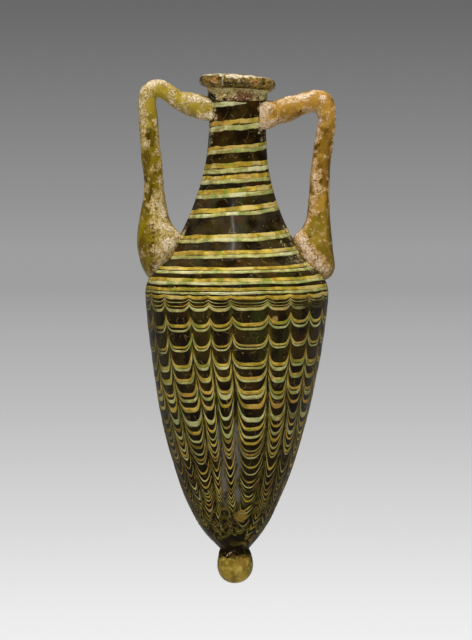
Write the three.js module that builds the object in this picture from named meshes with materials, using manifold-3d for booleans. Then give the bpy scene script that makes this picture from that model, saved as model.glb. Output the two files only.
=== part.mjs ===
// Amphoriskos: a small core-formed glass oil bottle with combed threads, two applied handles and a base knob.
// Millimetres, +Z up. The origin is the middle of the small flat under the base knob.
// The front faces -Y, and the handles stand at -X (left) and +X (right).
import * as THREE from "three";
import Module from "manifold-3d";
import { mergeVertices } from "three/addons/utils/BufferGeometryUtils.js";

const wasm = await Module();
wasm.setup();

// Base knob, a drop of olive glass
const knobRadius = 5.65;
const knobHeight = 8.2;
const knobFootRadius = 1.6; // the flat it would stand on
const knobTopRadius = 5.4; // where the dark stub of the body is fused on

// Outline of the vessel, measured over the threads
const pinchRadius = 4.9; // waist between knob and body
const stubHeight = 3.1; // dark glass between the knob and that waist
const bellyRadius = 28.6;
const bodyHeight = 79.7; // waist to belly
const shoulderRadius = 21;
const shoulderHeight = 11.2; // belly to the point where the shoulder turns hollow
const shoulderSlopeDeg = 61.6; // steepness at that point
const neckRadius = 8.9;
const neckHeight = 50; // that point to the end of the neck

// Fullness of its curves: how far their guide points stand out (Out) or lie along (Low, Mid, High), as shares
const bodyLowOut = 0.76;
const bodyLow = 0.197;
const bodyHigh = 0.085;
const shoulderLow = 0.464;
const shoulderHigh = 0.09;
const neckLow = 0.478;
const neckHigh = 0.406;

// Inside of the vessel
const bodyWall = 3.4;
const boreRadius = 4.8;
const floorThickness = 7; // solid glass above the waist

// Mouth: two turns of glass wound on the end of the neck and tooled
const collarHeight = 3.6;
const collarTopRadius = 9.8;
const collarWaist = 0.5; // how far the collar's side is hollowed
const lipRadius = 11.8;
const lipHeight = 3.7;
const lipFlatWidth = 1.6; // flat ring on top
const mouthRadius = 8.2; // inner edge of that flat
const mouthTiltDeg = 3.3; // the mouth dips towards +X

// Threads wound on the hot wall, then combed upwards on the body
const threadRise = 0.6; // how far their crests stand off the dark wall
const threadGap = 0.2; // fused seam under a thread
const yellowWidth = 1.5;
const paleWidth = 1.3;
const pairSpacing = 1.75; // yellow to pale on neck and shoulder
const threadStart = 3; // first turn, below the end of the neck
const plainTurns = 11;
const plainPitch = 5.6;
const combedTurns = 10;
const combedPitch = 7.4;
const festoonCount = 20; // comb strokes round the body
const festoonDepth = 5.2;
const combBegins = 4; // above the belly, where the strokes start to show
const combFull = 22; // below the belly, where they reach that depth
const combFade = 0.55; // share of it lost in the pointed foot
const threadEndWidth = 0.35; // share of a thread's width at its two ends
const threadTaper = 0.16; // turns over which it grows to its full width
const combedThinning = 0.8; // share of the width that is left on the combed body
const plainStepsPerTurn = 30;
const stepsPerFestoon = 3;

// Handles, applied rods of translucent glass. Each ends in a pad drawn down over the shoulder; a row of pad
// holds height above the tip as a share of padHeight, shift away from footReach, half width, half depth.
const seatGap = 0.3; // fused seam between a handle and what it sits on
const handleSides = 12;
const leftHandle = {
  side: -1,
  armDrop: 3.5, // arm's middle below the end of the neck, at the neck
  armRootHalf: 3.9, // half height of the arm where it spreads on the neck
  armRootDepth: 4.2, // half depth there
  armHalf: 2.9, // half thickness of the arm
  armRise: 6.4, // how far the arm climbs from the neck to the corner
  armSag: 0.43, // share of that climb at mid span
  reach: 28.0, // vessel's axis to the rod's middle below the corner
  rodHalf: 2.8,
  rodDepth: 2.9,
  footReach: 25.5, // vessel's axis to the rod's middle above the pad
  padHeight: 24,
  padTipBelowShoulder: 6.9, // tip, below the point where the shoulder turns hollow
  pad: [
    [1, 0, 4.0, 3.5],
    [0.83, 0, 4.6, 4.3],
    [0.71, -0.5, 5.6, 5.2],
    [0.58, -1.2, 6.8, 6.2],
    [0.44, -1.2, 6.9, 6.7],
    [0.3, -0.9, 6.1, 6.6],
    [0.17, -0.3, 4.5, 6],
    [0.05, 0.5, 2.5, 4],
    [0, 1, 1, 2],
  ],
};
const rightHandle = {
  side: 1,
  armDrop: 5.1,
  armRootHalf: 4.5,
  armRootDepth: 5.8,
  armHalf: 3.6,
  armRise: 4.7,
  armSag: 0.57,
  reach: 28.0,
  rodHalf: 2.85,
  rodDepth: 3,
  footReach: 25.4,
  padHeight: 22,
  padTipBelowShoulder: 6.9,
  pad: [
    [1, 0.1, 3.7, 3.4],
    [0.8, -0.1, 4, 4.2],
    [0.69, -0.7, 4.8, 5.2],
    [0.58, -1.5, 6, 6],
    [0.42, -1.4, 6.2, 6.5],
    [0.25, -0.4, 5.6, 6.4],
    [0.12, 0.3, 4.5, 5.6],
    [0.04, 0.6, 2.8, 3.8],
    [0, 1.2, 1.2, 2],
  ],
};

// Sides of the pieces turned about Z, and of the surface that the handles are trimmed to
const roundSegments = 36;
const seatSegments = 60;

const waistZ = knobHeight + stubHeight;
const bellyZ = waistZ + bodyHeight;
const shoulderZ = bellyZ + shoulderHeight;
const neckEndZ = shoulderZ + neckHeight;
const collarTopZ = neckEndZ + collarHeight;
const lipTopZ = collarTopZ + lipHeight;

// The outline as three smooth curves of (radius, height), from the waist up to the end of the neck.
const slope = THREE.MathUtils.degToRad(shoulderSlopeDeg);
const inwardsUp = new THREE.Vector2(-Math.cos(slope), Math.sin(slope));
const waist = new THREE.Vector2(pinchRadius, waistZ);
const belly = new THREE.Vector2(bellyRadius, bellyZ);
const shoulder = new THREE.Vector2(shoulderRadius, shoulderZ);
const neckEnd = new THREE.Vector2(neckRadius, neckEndZ);
const bodyCurve = new THREE.CubicBezierCurve(
  waist,
  new THREE.Vector2(pinchRadius + bodyLowOut * (bellyRadius - pinchRadius), waistZ + bodyLow * bodyHeight),
  new THREE.Vector2(bellyRadius, bellyZ - bodyHigh * bodyHeight),
  belly,
);
const shoulderCurve = new THREE.CubicBezierCurve(
  belly,
  new THREE.Vector2(bellyRadius, bellyZ + shoulderLow * shoulderHeight),
  shoulder.clone().addScaledVector(inwardsUp, -shoulderHigh * shoulderHeight),
  shoulder,
);
const neckCurve = new THREE.CubicBezierCurve(
  shoulder,
  shoulder.clone().addScaledVector(inwardsUp, neckLow * neckHeight),
  new THREE.Vector2(neckRadius, neckEndZ - neckHigh * neckHeight),
  neckEnd,
);
const outline = new THREE.CurvePath();
outline.add(bodyCurve);
outline.add(shoulderCurve);
outline.add(neckCurve);
const outlineLength = outline.getLength();

// Point of the outline at a length below the end of the neck, moved outwards by lift, as (radius, height).
function outlineAt(below, lift = 0) {
  const share = THREE.MathUtils.clamp(1 - below / outlineLength, 0, 1);
  const point = outline.getPoint(share);
  const along = outline.getTangent(share);
  return new THREE.Vector2(point.x + along.y * lift, point.y - along.x * lift);
}

// Length below the end of the neck at which the outline has a given height.
function lengthAtHeight(height) {
  let low = 0;
  let high = outlineLength;
  for (let i = 0; i < 40; i++) {
    const middle = (low + high) / 2;
    if (outlineAt(middle).y > height) low = middle;
    else high = middle;
  }
  return (low + high) / 2;
}

const bellyBelow = lengthAtHeight(bellyZ);

// Stations down the outline, closer together where it turns.
function stationsDown(neckSteps, shoulderSteps, bodySteps) {
  const shoulderBelow = lengthAtHeight(shoulderZ);
  const stations = [];
  for (let i = 0; i < neckSteps; i++) stations.push((shoulderBelow * i) / neckSteps);
  for (let i = 0; i < shoulderSteps; i++) {
    stations.push(THREE.MathUtils.lerp(shoulderBelow, bellyBelow, i / shoulderSteps));
  }
  for (let i = 0; i <= bodySteps; i++) {
    stations.push(THREE.MathUtils.lerp(bellyBelow, outlineLength, i / bodySteps));
  }
  return stations;
}

// A solid of revolution about Z from (radius, height) points.
function turned(points, segments) {
  return new THREE.LatheGeometry(points, segments).rotateX(Math.PI / 2);
}

// Shears what lies above the neck so that the mouth dips towards +X, and leaves the end of the neck level.
function tiltMouth(geometry) {
  const tilt = Math.tan(THREE.MathUtils.degToRad(mouthTiltDeg));
  const position = geometry.attributes.position;
  for (let i = 0; i < position.count; i++) {
    const above = THREE.MathUtils.clamp((position.getZ(i) - neckEndZ) / collarHeight, 0, 1);
    position.setZ(i, position.getZ(i) - position.getX(i) * tilt * above);
  }
  geometry.computeVertexNormals();
  return geometry;
}

// Closed solid through a list of rings, each with the same number of points, with a fan at either end.
function skinned(rings) {
  const sides = rings[0].length;
  const positions = rings.flat().flatMap((p) => [p.x, p.y, p.z]);
  const index = [];
  for (let r = 0; r + 1 < rings.length; r++) {
    for (let k = 0; k < sides; k++) {
      const a = r * sides + k;
      const b = r * sides + ((k + 1) % sides);
      index.push(a, b, b + sides, a, b + sides, a + sides);
    }
  }
  const last = (rings.length - 1) * sides;
  for (let k = 1; k + 1 < sides; k++) {
    index.push(0, k + 1, k);
    index.push(last, last + k, last + k + 1);
  }
  const geometry = new THREE.BufferGeometry();
  geometry.setAttribute("position", new THREE.Float32BufferAttribute(positions, 3));
  geometry.setIndex(index);
  geometry.computeVertexNormals();
  return geometry;
}

function toSolid(geometry) {
  const bare = geometry.clone();
  bare.deleteAttribute("normal");
  bare.deleteAttribute("uv");
  const merged = mergeVertices(bare, 1e-4);
  return new wasm.Manifold(
    new wasm.Mesh({
      numProp: 3,
      vertProperties: new Float32Array(merged.attributes.position.array),
      triVerts: new Uint32Array(merged.index.array),
    }),
  );
}

function toGeometry(solid) {
  const mesh = solid.getMesh();
  const geometry = new THREE.BufferGeometry();
  geometry.setAttribute("position", new THREE.BufferAttribute(mesh.vertProperties, 3));
  geometry.setIndex(new THREE.BufferAttribute(mesh.triVerts, 1));
  geometry.computeVertexNormals();
  return geometry;
}

// Dark wall: outside down the outline, inside back up it, and the stub that the knob is fused to.
function vesselWall() {
  const outside = stationsDown(8, 6, 11).map((below) => outlineAt(below, -threadRise));
  const neckWall = neckRadius - boreRadius;
  const shoulderBelow = lengthAtHeight(shoulderZ);
  const floorZ = waistZ + floorThickness;
  const inside = stationsDown(4, 4, 7)
    .map((below) => {
      const inBody = THREE.MathUtils.smoothstep(below, 0.3 * shoulderBelow, bellyBelow);
      return outlineAt(below, -THREE.MathUtils.lerp(neckWall, bodyWall, inBody));
    })
    .filter((point) => point.y > floorZ + 1 && point.x > 1);
  const profile = [
    new THREE.Vector2(0, floorZ),
    ...inside.reverse(),
    ...outside,
    new THREE.Vector2(knobTopRadius, knobHeight),
    new THREE.Vector2(0, knobHeight),
  ];
  return turned(profile.reverse(), roundSegments);
}

function baseKnob() {
  const side = new THREE.Path();
  side.moveTo(0, 0);
  side.lineTo(knobFootRadius, 0);
  side.bezierCurveTo(
    0.8 * knobRadius, 0.04 * knobHeight,
    knobRadius, 0.32 * knobHeight,
    knobRadius, 0.66 * knobHeight,
  );
  side.quadraticCurveTo(knobRadius, 0.87 * knobHeight, knobTopRadius, knobHeight);
  side.lineTo(0, knobHeight);
  return turned(side.getPoints(4), roundSegments);
}

// Pale turn of glass under the lip: a ring with a hollowed side, wider at the top.
function mouthCollar() {
  const middleRadius = (neckRadius + collarTopRadius) / 2 - collarWaist;
  const side = new THREE.Path();
  side.moveTo(boreRadius, neckEndZ);
  side.lineTo(neckRadius, neckEndZ);
  side.quadraticCurveTo(middleRadius, neckEndZ + 0.5 * collarHeight, collarTopRadius, collarTopZ);
  side.lineTo(boreRadius, collarTopZ);
  side.lineTo(boreRadius, neckEndZ);
  return tiltMouth(turned(side.getPoints(4), roundSegments));
}

// Brown turn of glass at the mouth: a rolled edge, a flat top and a funnel down to the bore.
function lipRing() {
  const flatEdge = mouthRadius + lipFlatWidth;
  const side = new THREE.Path();
  side.moveTo(boreRadius, collarTopZ);
  side.lineTo(collarTopRadius, collarTopZ);
  side.bezierCurveTo(
    lipRadius - 0.4, collarTopZ + 0.1 * lipHeight,
    lipRadius, collarTopZ + 0.3 * lipHeight,
    lipRadius, collarTopZ + 0.52 * lipHeight,
  );
  side.bezierCurveTo(
    lipRadius, collarTopZ + 0.84 * lipHeight,
    flatEdge + 0.5 * (lipRadius - flatEdge), lipTopZ,
    flatEdge, lipTopZ,
  );
  side.lineTo(mouthRadius, lipTopZ);
  side.quadraticCurveTo(boreRadius + 0.6, lipTopZ - 0.2 * lipHeight, boreRadius, collarTopZ);
  return tiltMouth(turned(side.getPoints(4), roundSegments));
}

// Length below the end of the neck of a thread's middle after so many turns, before combing.
function windingAt(turn, spacing) {
  const plain = Math.min(turn, plainTurns);
  const combed = Math.max(turn - plainTurns, 0);
  const apart = THREE.MathUtils.lerp(1, combedPitch / 2 / pairSpacing, Math.min(combed, 1));
  return threadStart + plain * plainPitch + combed * combedPitch + spacing * apart;
}

// How far the comb has dragged the threads up the wall: nothing on the shoulder, most on the body.
function combLift(angle, below) {
  const begin = THREE.MathUtils.smoothstep(below, bellyBelow - combBegins, bellyBelow + combFull);
  const end = 1 - combFade * THREE.MathUtils.smoothstep(below, 0.72 * outlineLength, 0.95 * outlineLength);
  const stroke = (angle * festoonCount) / (2 * Math.PI);
  const fromStroke = Math.abs(2 * (stroke - Math.floor(stroke)) - 1);
  return festoonDepth * begin * end * fromStroke ** 2;
}

// One unbroken thread of low triangular section, wound down the wall with its turns falling to the left.
function woundThread(width, spacing) {
  const plainSteps = plainTurns * plainStepsPerTurn;
  const combedSteps = combedTurns * festoonCount * stepsPerFestoon;
  const rings = [];
  for (let i = 0; i <= plainSteps + combedSteps; i++) {
    const plain = Math.min(i, plainSteps) / plainStepsPerTurn;
    const combed = Math.max(i - plainSteps, 0) / (festoonCount * stepsPerFestoon);
    const turn = plain + combed;
    const angle = -2 * Math.PI * turn;
    const middle = windingAt(turn, spacing);
    const below = middle - combLift(angle, middle);
    const fromEnd = Math.min(turn, plainTurns + combedTurns - turn) / threadTaper;
    const taper = THREE.MathUtils.lerp(threadEndWidth, 1, Math.min(fromEnd, 1));
    const thin = THREE.MathUtils.lerp(1, combedThinning, Math.min(combed, 1));
    const half = 0.5 * width * taper * thin;
    const across = [
      outlineAt(below + half, threadGap - threadRise),
      outlineAt(below, 0),
      outlineAt(below - half, threadGap - threadRise),
    ];
    rings.push(across.map((p) => new THREE.Vector3(p.x * Math.cos(angle), p.x * Math.sin(angle), p.y)));
  }
  return skinned(rings);
}

// What a handle may not enter: the vessel over its threads, the collar and the lip, all grown by the seam.
function seatSolid() {
  const body = stationsDown(12, 10, 12).map((below) => outlineAt(below, seatGap));
  const profile = [
    new THREE.Vector2(0, lipTopZ + lipRadius),
    new THREE.Vector2(lipRadius + seatGap, lipTopZ + lipRadius),
    new THREE.Vector2(lipRadius + seatGap, collarTopZ),
    new THREE.Vector2(collarTopRadius + seatGap, collarTopZ - seatGap),
    new THREE.Vector2(neckRadius + seatGap, neckEndZ - seatGap),
    ...body.slice(1),
    new THREE.Vector2(0, waistZ),
  ];
  return toSolid(turned(profile.reverse(), seatSegments));
}

// Stations of a handle's middle line: distance from the axis, height, half thickness and half depth.
function handleStations(h) {
  const { lerp } = THREE.MathUtils;
  const rootZ = neckEndZ - h.armDrop;
  const cornerZ = rootZ + h.armRise;
  const tipZ = shoulderZ - h.padTipBelowShoulder;
  const out = (share) => lerp(neckRadius, h.reach, share);
  const armDepth = lerp(h.armRootDepth, h.rodDepth, 0.7);
  const arm = [
    [out(-0.12), rootZ - 0.04 * h.armRise, h.armRootHalf, h.armRootDepth],
    [out(0.06), rootZ, h.armRootHalf, 0.9 * h.armRootDepth],
    [out(0.3), rootZ + 0.5 * h.armSag * h.armRise, lerp(h.armRootHalf, h.armHalf, 0.4), armDepth],
    [out(0.54), rootZ + h.armSag * h.armRise, h.armHalf, h.rodDepth],
    [out(0.78), cornerZ - 0.05 * h.armRise, h.armHalf, h.rodDepth],
    [h.reach - 0.4 * h.rodHalf, cornerZ - 0.25 * h.rodHalf, h.rodHalf, h.rodDepth],
    [h.reach + 0.1 * h.rodHalf, cornerZ - 1.6 * h.rodHalf, h.rodHalf, h.rodDepth],
  ];
  const padTopZ = tipZ + h.padHeight;
  const rod = [0.35, 0.7].map((share) => [
    lerp(h.reach, h.footReach, share),
    lerp(cornerZ, padTopZ, share),
    h.rodHalf * (1 + 0.2 * share),
    h.rodDepth,
  ]);
  const padRow = ([share, shift, ...halves]) => [h.footReach + shift, tipZ + share * h.padHeight, ...halves];
  const pad = h.pad.map(padRow);
  return [...arm, ...rod, ...pad];
}

// A rod of oval section along those stations, trimmed to the surface that it is pressed on.
function appliedHandle(h, seat) {
  const stations = handleStations(h);
  const middleLine = new THREE.CatmullRomCurve3(
    stations.map(([reach, height]) => new THREE.Vector3(h.side * reach, 0, height)),
    false,
    "centripetal",
  );
  const section = new THREE.CatmullRomCurve3(
    stations.map(([, , half, depth]) => new THREE.Vector3(half, depth, 0)),
    false,
    "centripetal",
  );
  const stepsPerStation = 2;
  const steps = (stations.length - 1) * stepsPerStation;
  const rings = [];
  for (let i = 0; i <= steps; i++) {
    const share = i / steps;
    const centre = middleLine.getPoint(share);
    const along = middleLine.getTangent(share);
    const inPlane = new THREE.Vector3(along.z, 0, -along.x);
    const size = section.getPoint(share);
    const ring = [];
    for (let k = 0; k < handleSides; k++) {
      const turn = (2 * Math.PI * k) / handleSides;
      const point = centre.clone().addScaledVector(inPlane, size.x * Math.cos(turn));
      point.y += size.y * Math.sin(turn);
      ring.push(point);
    }
    rings.push(ring);
  }
  return toGeometry(toSolid(skinned(rings)).subtract(seat));
}

const darkGlass = new THREE.MeshStandardMaterial({ color: 0x1c170c, roughness: 0.25, metalness: 0 });
const yellowGlass = new THREE.MeshStandardMaterial({ color: 0xb89a3c, roughness: 0.4, metalness: 0 });
const paleGlass = new THREE.MeshStandardMaterial({ color: 0x9fae7c, roughness: 0.4, metalness: 0 });
const oliveGlass = new THREE.MeshStandardMaterial({ color: 0x8f7d1e, roughness: 0.3, metalness: 0 });
const amberGlass = new THREE.MeshStandardMaterial({ color: 0xa9792f, roughness: 0.3, metalness: 0 });
const brownGlass = new THREE.MeshStandardMaterial({ color: 0x5d4a20, roughness: 0.3, metalness: 0 });

const amphoriskos = new THREE.Group();

function addPiece(name, geometry, material) {
  const mesh = new THREE.Mesh(geometry, material);
  mesh.name = name;
  amphoriskos.add(mesh);
}

const seat = seatSolid();
addPiece("vessel_wall", vesselWall(), darkGlass);
addPiece("base_knob", baseKnob(), oliveGlass);
addPiece("mouth_collar", mouthCollar(), paleGlass);
addPiece("lip_ring", lipRing(), brownGlass);
addPiece("yellow_thread", woundThread(yellowWidth, 0), yellowGlass);
addPiece("pale_thread", woundThread(paleWidth, pairSpacing), paleGlass);
addPiece("left_handle", appliedHandle(leftHandle, seat), oliveGlass);
addPiece("right_handle", appliedHandle(rightHandle, seat), amberGlass);

export default amphoriskos;
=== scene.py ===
import itertools
import math

import bpy
import numpy as np
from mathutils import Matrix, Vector


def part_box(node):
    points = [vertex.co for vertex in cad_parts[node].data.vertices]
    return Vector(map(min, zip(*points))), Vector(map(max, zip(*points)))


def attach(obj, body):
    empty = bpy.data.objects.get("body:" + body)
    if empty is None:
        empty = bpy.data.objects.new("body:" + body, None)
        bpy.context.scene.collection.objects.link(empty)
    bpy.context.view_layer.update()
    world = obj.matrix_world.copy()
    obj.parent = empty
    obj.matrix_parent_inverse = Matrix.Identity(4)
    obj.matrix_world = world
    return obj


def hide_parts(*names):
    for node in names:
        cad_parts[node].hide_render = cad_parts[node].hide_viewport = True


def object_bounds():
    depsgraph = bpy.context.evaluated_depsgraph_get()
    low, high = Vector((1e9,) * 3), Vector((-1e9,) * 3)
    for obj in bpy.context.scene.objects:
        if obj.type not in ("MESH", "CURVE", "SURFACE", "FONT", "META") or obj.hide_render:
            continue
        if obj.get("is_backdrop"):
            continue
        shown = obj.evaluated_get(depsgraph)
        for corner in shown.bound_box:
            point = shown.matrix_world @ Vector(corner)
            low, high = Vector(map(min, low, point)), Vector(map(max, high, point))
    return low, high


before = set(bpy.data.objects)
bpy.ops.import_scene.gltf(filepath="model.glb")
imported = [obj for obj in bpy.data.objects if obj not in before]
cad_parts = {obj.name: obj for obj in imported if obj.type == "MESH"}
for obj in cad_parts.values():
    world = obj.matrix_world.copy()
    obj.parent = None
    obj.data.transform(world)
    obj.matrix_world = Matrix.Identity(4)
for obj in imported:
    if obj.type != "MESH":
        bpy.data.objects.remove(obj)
cadLow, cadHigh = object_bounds()
print("frame loaded, pieces:", len(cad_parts))


# lengths are millimetres and heights are z; an azimuth is in degrees from the front, positive to the right
def farCorner(node):
    return np.array(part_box(node)[1]) * 1000


# smooth curve through given values: a cubic between neighbours, its slopes from the values on either side
def curveThrough(at, places, values):
    at, places, values = (np.asarray(a, float) for a in (at, places, values))
    slopes = np.gradient(values, places, axis=0)
    left = np.clip(np.searchsorted(places, at) - 1, 0, len(places) - 2)
    gap = places[left + 1] - places[left]
    t = np.clip((at - places[left]) / gap, 0, 1)
    if values.ndim > 1:
        gap, t = gap[..., None], t[..., None]
    start, end = values[left], values[left + 1]
    leave, arrive = slopes[left] * gap, slopes[left + 1] * gap
    return (
        start * (2 * t**3 - 3 * t**2 + 1) + leave * (t**3 - 2 * t**2 + t)
        + end * (3 * t**2 - 2 * t**3) + arrive * (t**3 - t**2)
    )


# how far along a line of points each one lies
def lengthAlong(points):
    return np.concatenate([[0], np.cumsum(np.hypot(*np.diff(points, axis=0).T))])


# angles all round the axis, in radians
def allRound(count):
    return np.radians(np.arange(count) * 360 / count)[None, :]


# 0 at low and 1 at high, eased at both ends; it falls where low is the larger one
def easeStep(value, low, high):
    t = np.clip((np.asarray(value, float) - low) / (high - low), 0, 1)
    return t * t * (3 - 2 * t)


# value noise from -1 to 1: a fixed random number at each lattice point, eased between the points
def lumps(places, size, seed):
    cell = np.stack(np.broadcast_arrays(*places), -1) / size
    base = np.floor(cell).astype(np.int64)
    part = cell - base
    part = part * part * (3 - 2 * part)
    total = np.zeros(cell.shape[:-1])
    for corner in itertools.product((0, 1), repeat=cell.shape[-1]):
        key = np.full(total.shape, seed * 7919 + 12345, np.int64)
        weight = np.ones(total.shape)
        for axis, step in enumerate(corner):
            key = (key ^ (base[..., axis] + step)) * 2654435761 & 0xFFFFFFFF
            key = key ^ (key >> 15)
            weight = weight * (part[..., axis] if step else 1 - part[..., axis])
        total += weight * ((key * 2246822519 & 0xFFFFFFFF) / 0xFFFFFFFF)
    return 2 * total - 1


# lumps of two or more sizes on top of each other, each half as tall and half as wide as the last
def layeredLumps(places, size, seed, layers=3):
    total = sum(lumps(places, size / 2**i, seed + i) / 2**i for i in range(layers))
    return total / sum(1 / 2**i for i in range(layers))


def newObject(name, data):
    thing = bpy.data.objects.new(name, data)
    bpy.context.collection.objects.link(thing)
    return thing


# closed mesh from a grid of points: rows joined in turn, each row closed on itself;
# the ends are closed by a fan to the middle of the row, or the last row joins the first
def skin(name, grid, marks=None, ring=False):
    rows, around = grid.shape[:2]
    row = np.arange(rows if ring else rows - 1)[:, None] * around
    upper = (row + around) % (rows * around)
    k = np.arange(around)[None, :]
    nextK = (k + 1) % around
    quads = np.stack([row + k, row + nextK, upper + nextK, upper + k], -1).reshape(-1, 4)
    points = grid.reshape(-1, 3)
    fans = np.zeros((0, 3), int)
    if not ring:
        points = np.vstack([points, grid[0].mean(0), grid[-1].mean(0)])
        k, nextK, last = k[0], nextK[0], (rows - 1) * around
        bottom = np.stack([nextK, k, np.full(around, rows * around)], -1)
        top = np.stack([last + k, last + nextK, np.full(around, rows * around + 1)], -1)
        fans = np.vstack([bottom, top])
    corners = points[np.vstack([quads[:, [0, 1, 2]], quads[:, [0, 2, 3]], fans])]
    volume = np.einsum("ij,ij->i", corners[:, 0], np.cross(corners[:, 1], corners[:, 2])).sum()
    if volume < 0:
        quads, fans = quads[:, ::-1], fans[:, ::-1]
    mesh = bpy.data.meshes.new(name)
    mesh.vertices.add(len(points))
    mesh.vertices.foreach_set("co", (points / 1000).astype(np.float32).ravel())
    mesh.loops.add(quads.size + fans.size)
    mesh.loops.foreach_set("vertex_index", np.concatenate([quads.ravel(), fans.ravel()]).astype(np.int32))
    mesh.polygons.add(len(quads) + len(fans))
    starts = np.concatenate([np.arange(len(quads)) * 4, quads.size + np.arange(len(fans)) * 3])
    mesh.polygons.foreach_set("loop_start", starts.astype(np.int32))
    mesh.polygons.foreach_set("use_smooth", np.ones(len(starts), bool))
    mesh.update(calc_edges=True)
    mesh.validate()
    for label, values in (marks or {}).items():
        spread = np.broadcast_to(values, grid.shape[:2])
        ends = [] if ring else [spread[0].mean(), spread[-1].mean()]
        flat = np.concatenate([spread.ravel(), ends]).astype(np.float32)
        mesh.attributes.new(label, "FLOAT", "POINT").data.foreach_set("value", flat)
    return newObject(name, mesh)


# a finished piece takes its CAD node's place, body and material slot
def seat(piece, node, material):
    piece.data.materials.append(material)
    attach(piece, "root")
    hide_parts(node)
    print(piece.name, "made, triangles:", sum(len(p.vertices) - 2 for p in piece.data.polygons))


# a colour as it should look, "#rrggbb", to the linear one that a socket holds
def paint(code):
    levels = [int(code[i : i + 2], 16) / 255 for i in (1, 3, 5)]
    return (*[v / 12.92 if v <= 0.04045 else ((v + 0.055) / 1.055) ** 2.4 for v in levels], 1)


# millimetres to the metres that a socket holds
def metres(lengths):
    return [length / 1000 for length in lengths]


def isSocket(value):
    return isinstance(value, bpy.types.NodeSocket)


# a node's sockets, linked where the value is another node's socket
def plug(tree, node, sockets):
    for name, value in sockets.items():
        if isSocket(value):
            tree.links.new(value, node.inputs[name])
        else:
            node.inputs[name].default_value = value


def newFinish(name):
    material = bpy.data.materials.new(name)
    material.use_nodes = True
    return material, material.node_tree, material.node_tree.nodes["Principled BSDF"]


def addNode(tree, kind, sockets, **settings):
    node = tree.nodes.new("ShaderNode" + kind)
    for name, value in settings.items():
        setattr(node, name, value)
    plug(tree, node, sockets)
    return node


def objectPlace(tree, stretch=(1, 1, 1)):
    place = addNode(tree, "TexCoord", {}).outputs["Object"]
    return addNode(tree, "Mapping", {"Vector": place, "Scale": stretch}).outputs["Vector"]


def mark(tree, name):
    return addNode(tree, "Attribute", {}, attribute_name=name).outputs["Fac"]


def remap(tree, value, low, high, start=0.0, end=1.0):
    sockets = {"Value": value, "From Min": low, "From Max": high, "To Min": start, "To Max": end}
    return addNode(tree, "MapRange", sockets, interpolation_type="SMOOTHSTEP").outputs["Result"]


def maths(tree, operation, first, second=0.0):
    return addNode(tree, "Math", {0: first, 1: second}, operation=operation).outputs[0]


def vectorMaths(tree, operation, first, second=(0, 0, 0), output="Vector"):
    return addNode(tree, "VectorMath", {0: first, 1: second}, operation=operation).outputs[output]


# product of a share and others, a plain 1 left out
def times(tree, share, *others):
    for other in others:
        if isSocket(other) or other != 1:
            share = maths(tree, "MULTIPLY", share, other)
    return share


def mixed(tree, share, first, second):
    first, second = (paint(c) if isinstance(c, str) else c for c in (first, second))
    return addNode(tree, "Mix", {0: share, 6: first, 7: second}, data_type="RGBA").outputs[2]


# a tone laid over a colour, as strong as the product of the shares
def laid(tree, colour, tone, *shares):
    return mixed(tree, times(tree, *shares), colour, tone)


# noise whose patches are about so many millimetres wide
def rawGrain(tree, place, size, detail=3.0):
    return addNode(tree, "TexNoise", {"Vector": place, "Scale": 1000 / size, "Detail": detail}).outputs["Fac"]


def grain(tree, place, size, low, high, detail=3.0):
    return remap(tree, rawGrain(tree, place, size, detail), low, high)


# a value made uneven by noise of a size, by up to an amount
def uneven(tree, place, value, size, detail, amount=1):
    return maths(tree, "ADD", value, times(tree, rawGrain(tree, place, size, detail), amount))


# a tone laid in patches; in the finishes below a layer is its tone, how far it covers, the size of its
# patches, the values of the noise where they begin and are full, and its detail
def layer(tree, place, colour, tone, cover, size, low, high, detail=3.0, within=1):
    return laid(tree, colour, tone, grain(tree, place, size, low, high, detail), cover, within)


def zOf(tree, vector):
    return addNode(tree, "SeparateXYZ", {0: vector}).outputs["Z"]


# 0 at one height and 1 at the other
def byHeight(tree, place, low, high):
    return remap(tree, zOf(tree, place), *metres((low, high)))


# 1 between two heights, with a soft end at either side
def band(tree, place, low, lowFull, highFull, high):
    return times(tree, byHeight(tree, place, low, lowFull), byHeight(tree, place, high, highFull))


def relief(tree, height, depth, strength):
    sockets = {"Height": height, "Distance": depth / 1000, "Strength": strength}
    return addNode(tree, "Bump", sockets).outputs["Normal"]


# thin glossy skin over a dull body, which keeps the vessel's sides dark before the pale background;
# sockets are the shader's others
def glaze(tree, shader, weight, roughness, sockets):
    skinSockets = {"Specular IOR Level": 0.02, "Coat Weight": weight, "Coat Roughness": roughness}
    plug(tree, shader, {**skinSockets, **sockets})


# thin crooked lines of scratches and crazing: the borders of bent cells, broken up by noise
def scratched(tree, place, colour, tone, cover, size, width):
    bend = addNode(tree, "TexNoise", {"Vector": place, "Scale": 1500 / size, "Detail": 2.0}).outputs["Color"]
    bent = vectorMaths(tree, "ADD", place, vectorMaths(tree, "MULTIPLY", bend, [size / 1500] * 3))
    border = addNode(tree, "TexVoronoi", {"Vector": bent, "Scale": 1000 / size}, feature="DISTANCE_TO_EDGE")
    line = remap(tree, border.outputs["Distance"], 0.2 * width / size, width / size, 1.0, 0.0)
    return layer(tree, place, colour, tone, cover, size * 0.8, 0.48, 0.62, within=line)


# patch of colour: 1 inside a ball round a middle in millimetres, with a ragged edge
def patch(tree, place, middle, reach, ragged):
    away = vectorMaths(tree, "DISTANCE", place, metres(middle), "Value")
    away = uneven(tree, place, times(tree, away, 1000 / reach), 1.2, 4, ragged * 2)
    return remap(tree, away, 1 + ragged, 0.6 + ragged)


# groups of patches: tone, cover, how ragged its patches are, then middle (x, y, z) and reach of each
def spotted(tree, place, colour, groups, within=1):
    for tone, cover, ragged, *patches in groups:
        for *middle, reach in patches:
            colour = laid(tree, colour, tone, patch(tree, place, middle, reach, ragged), cover, within)
    return colour


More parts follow.
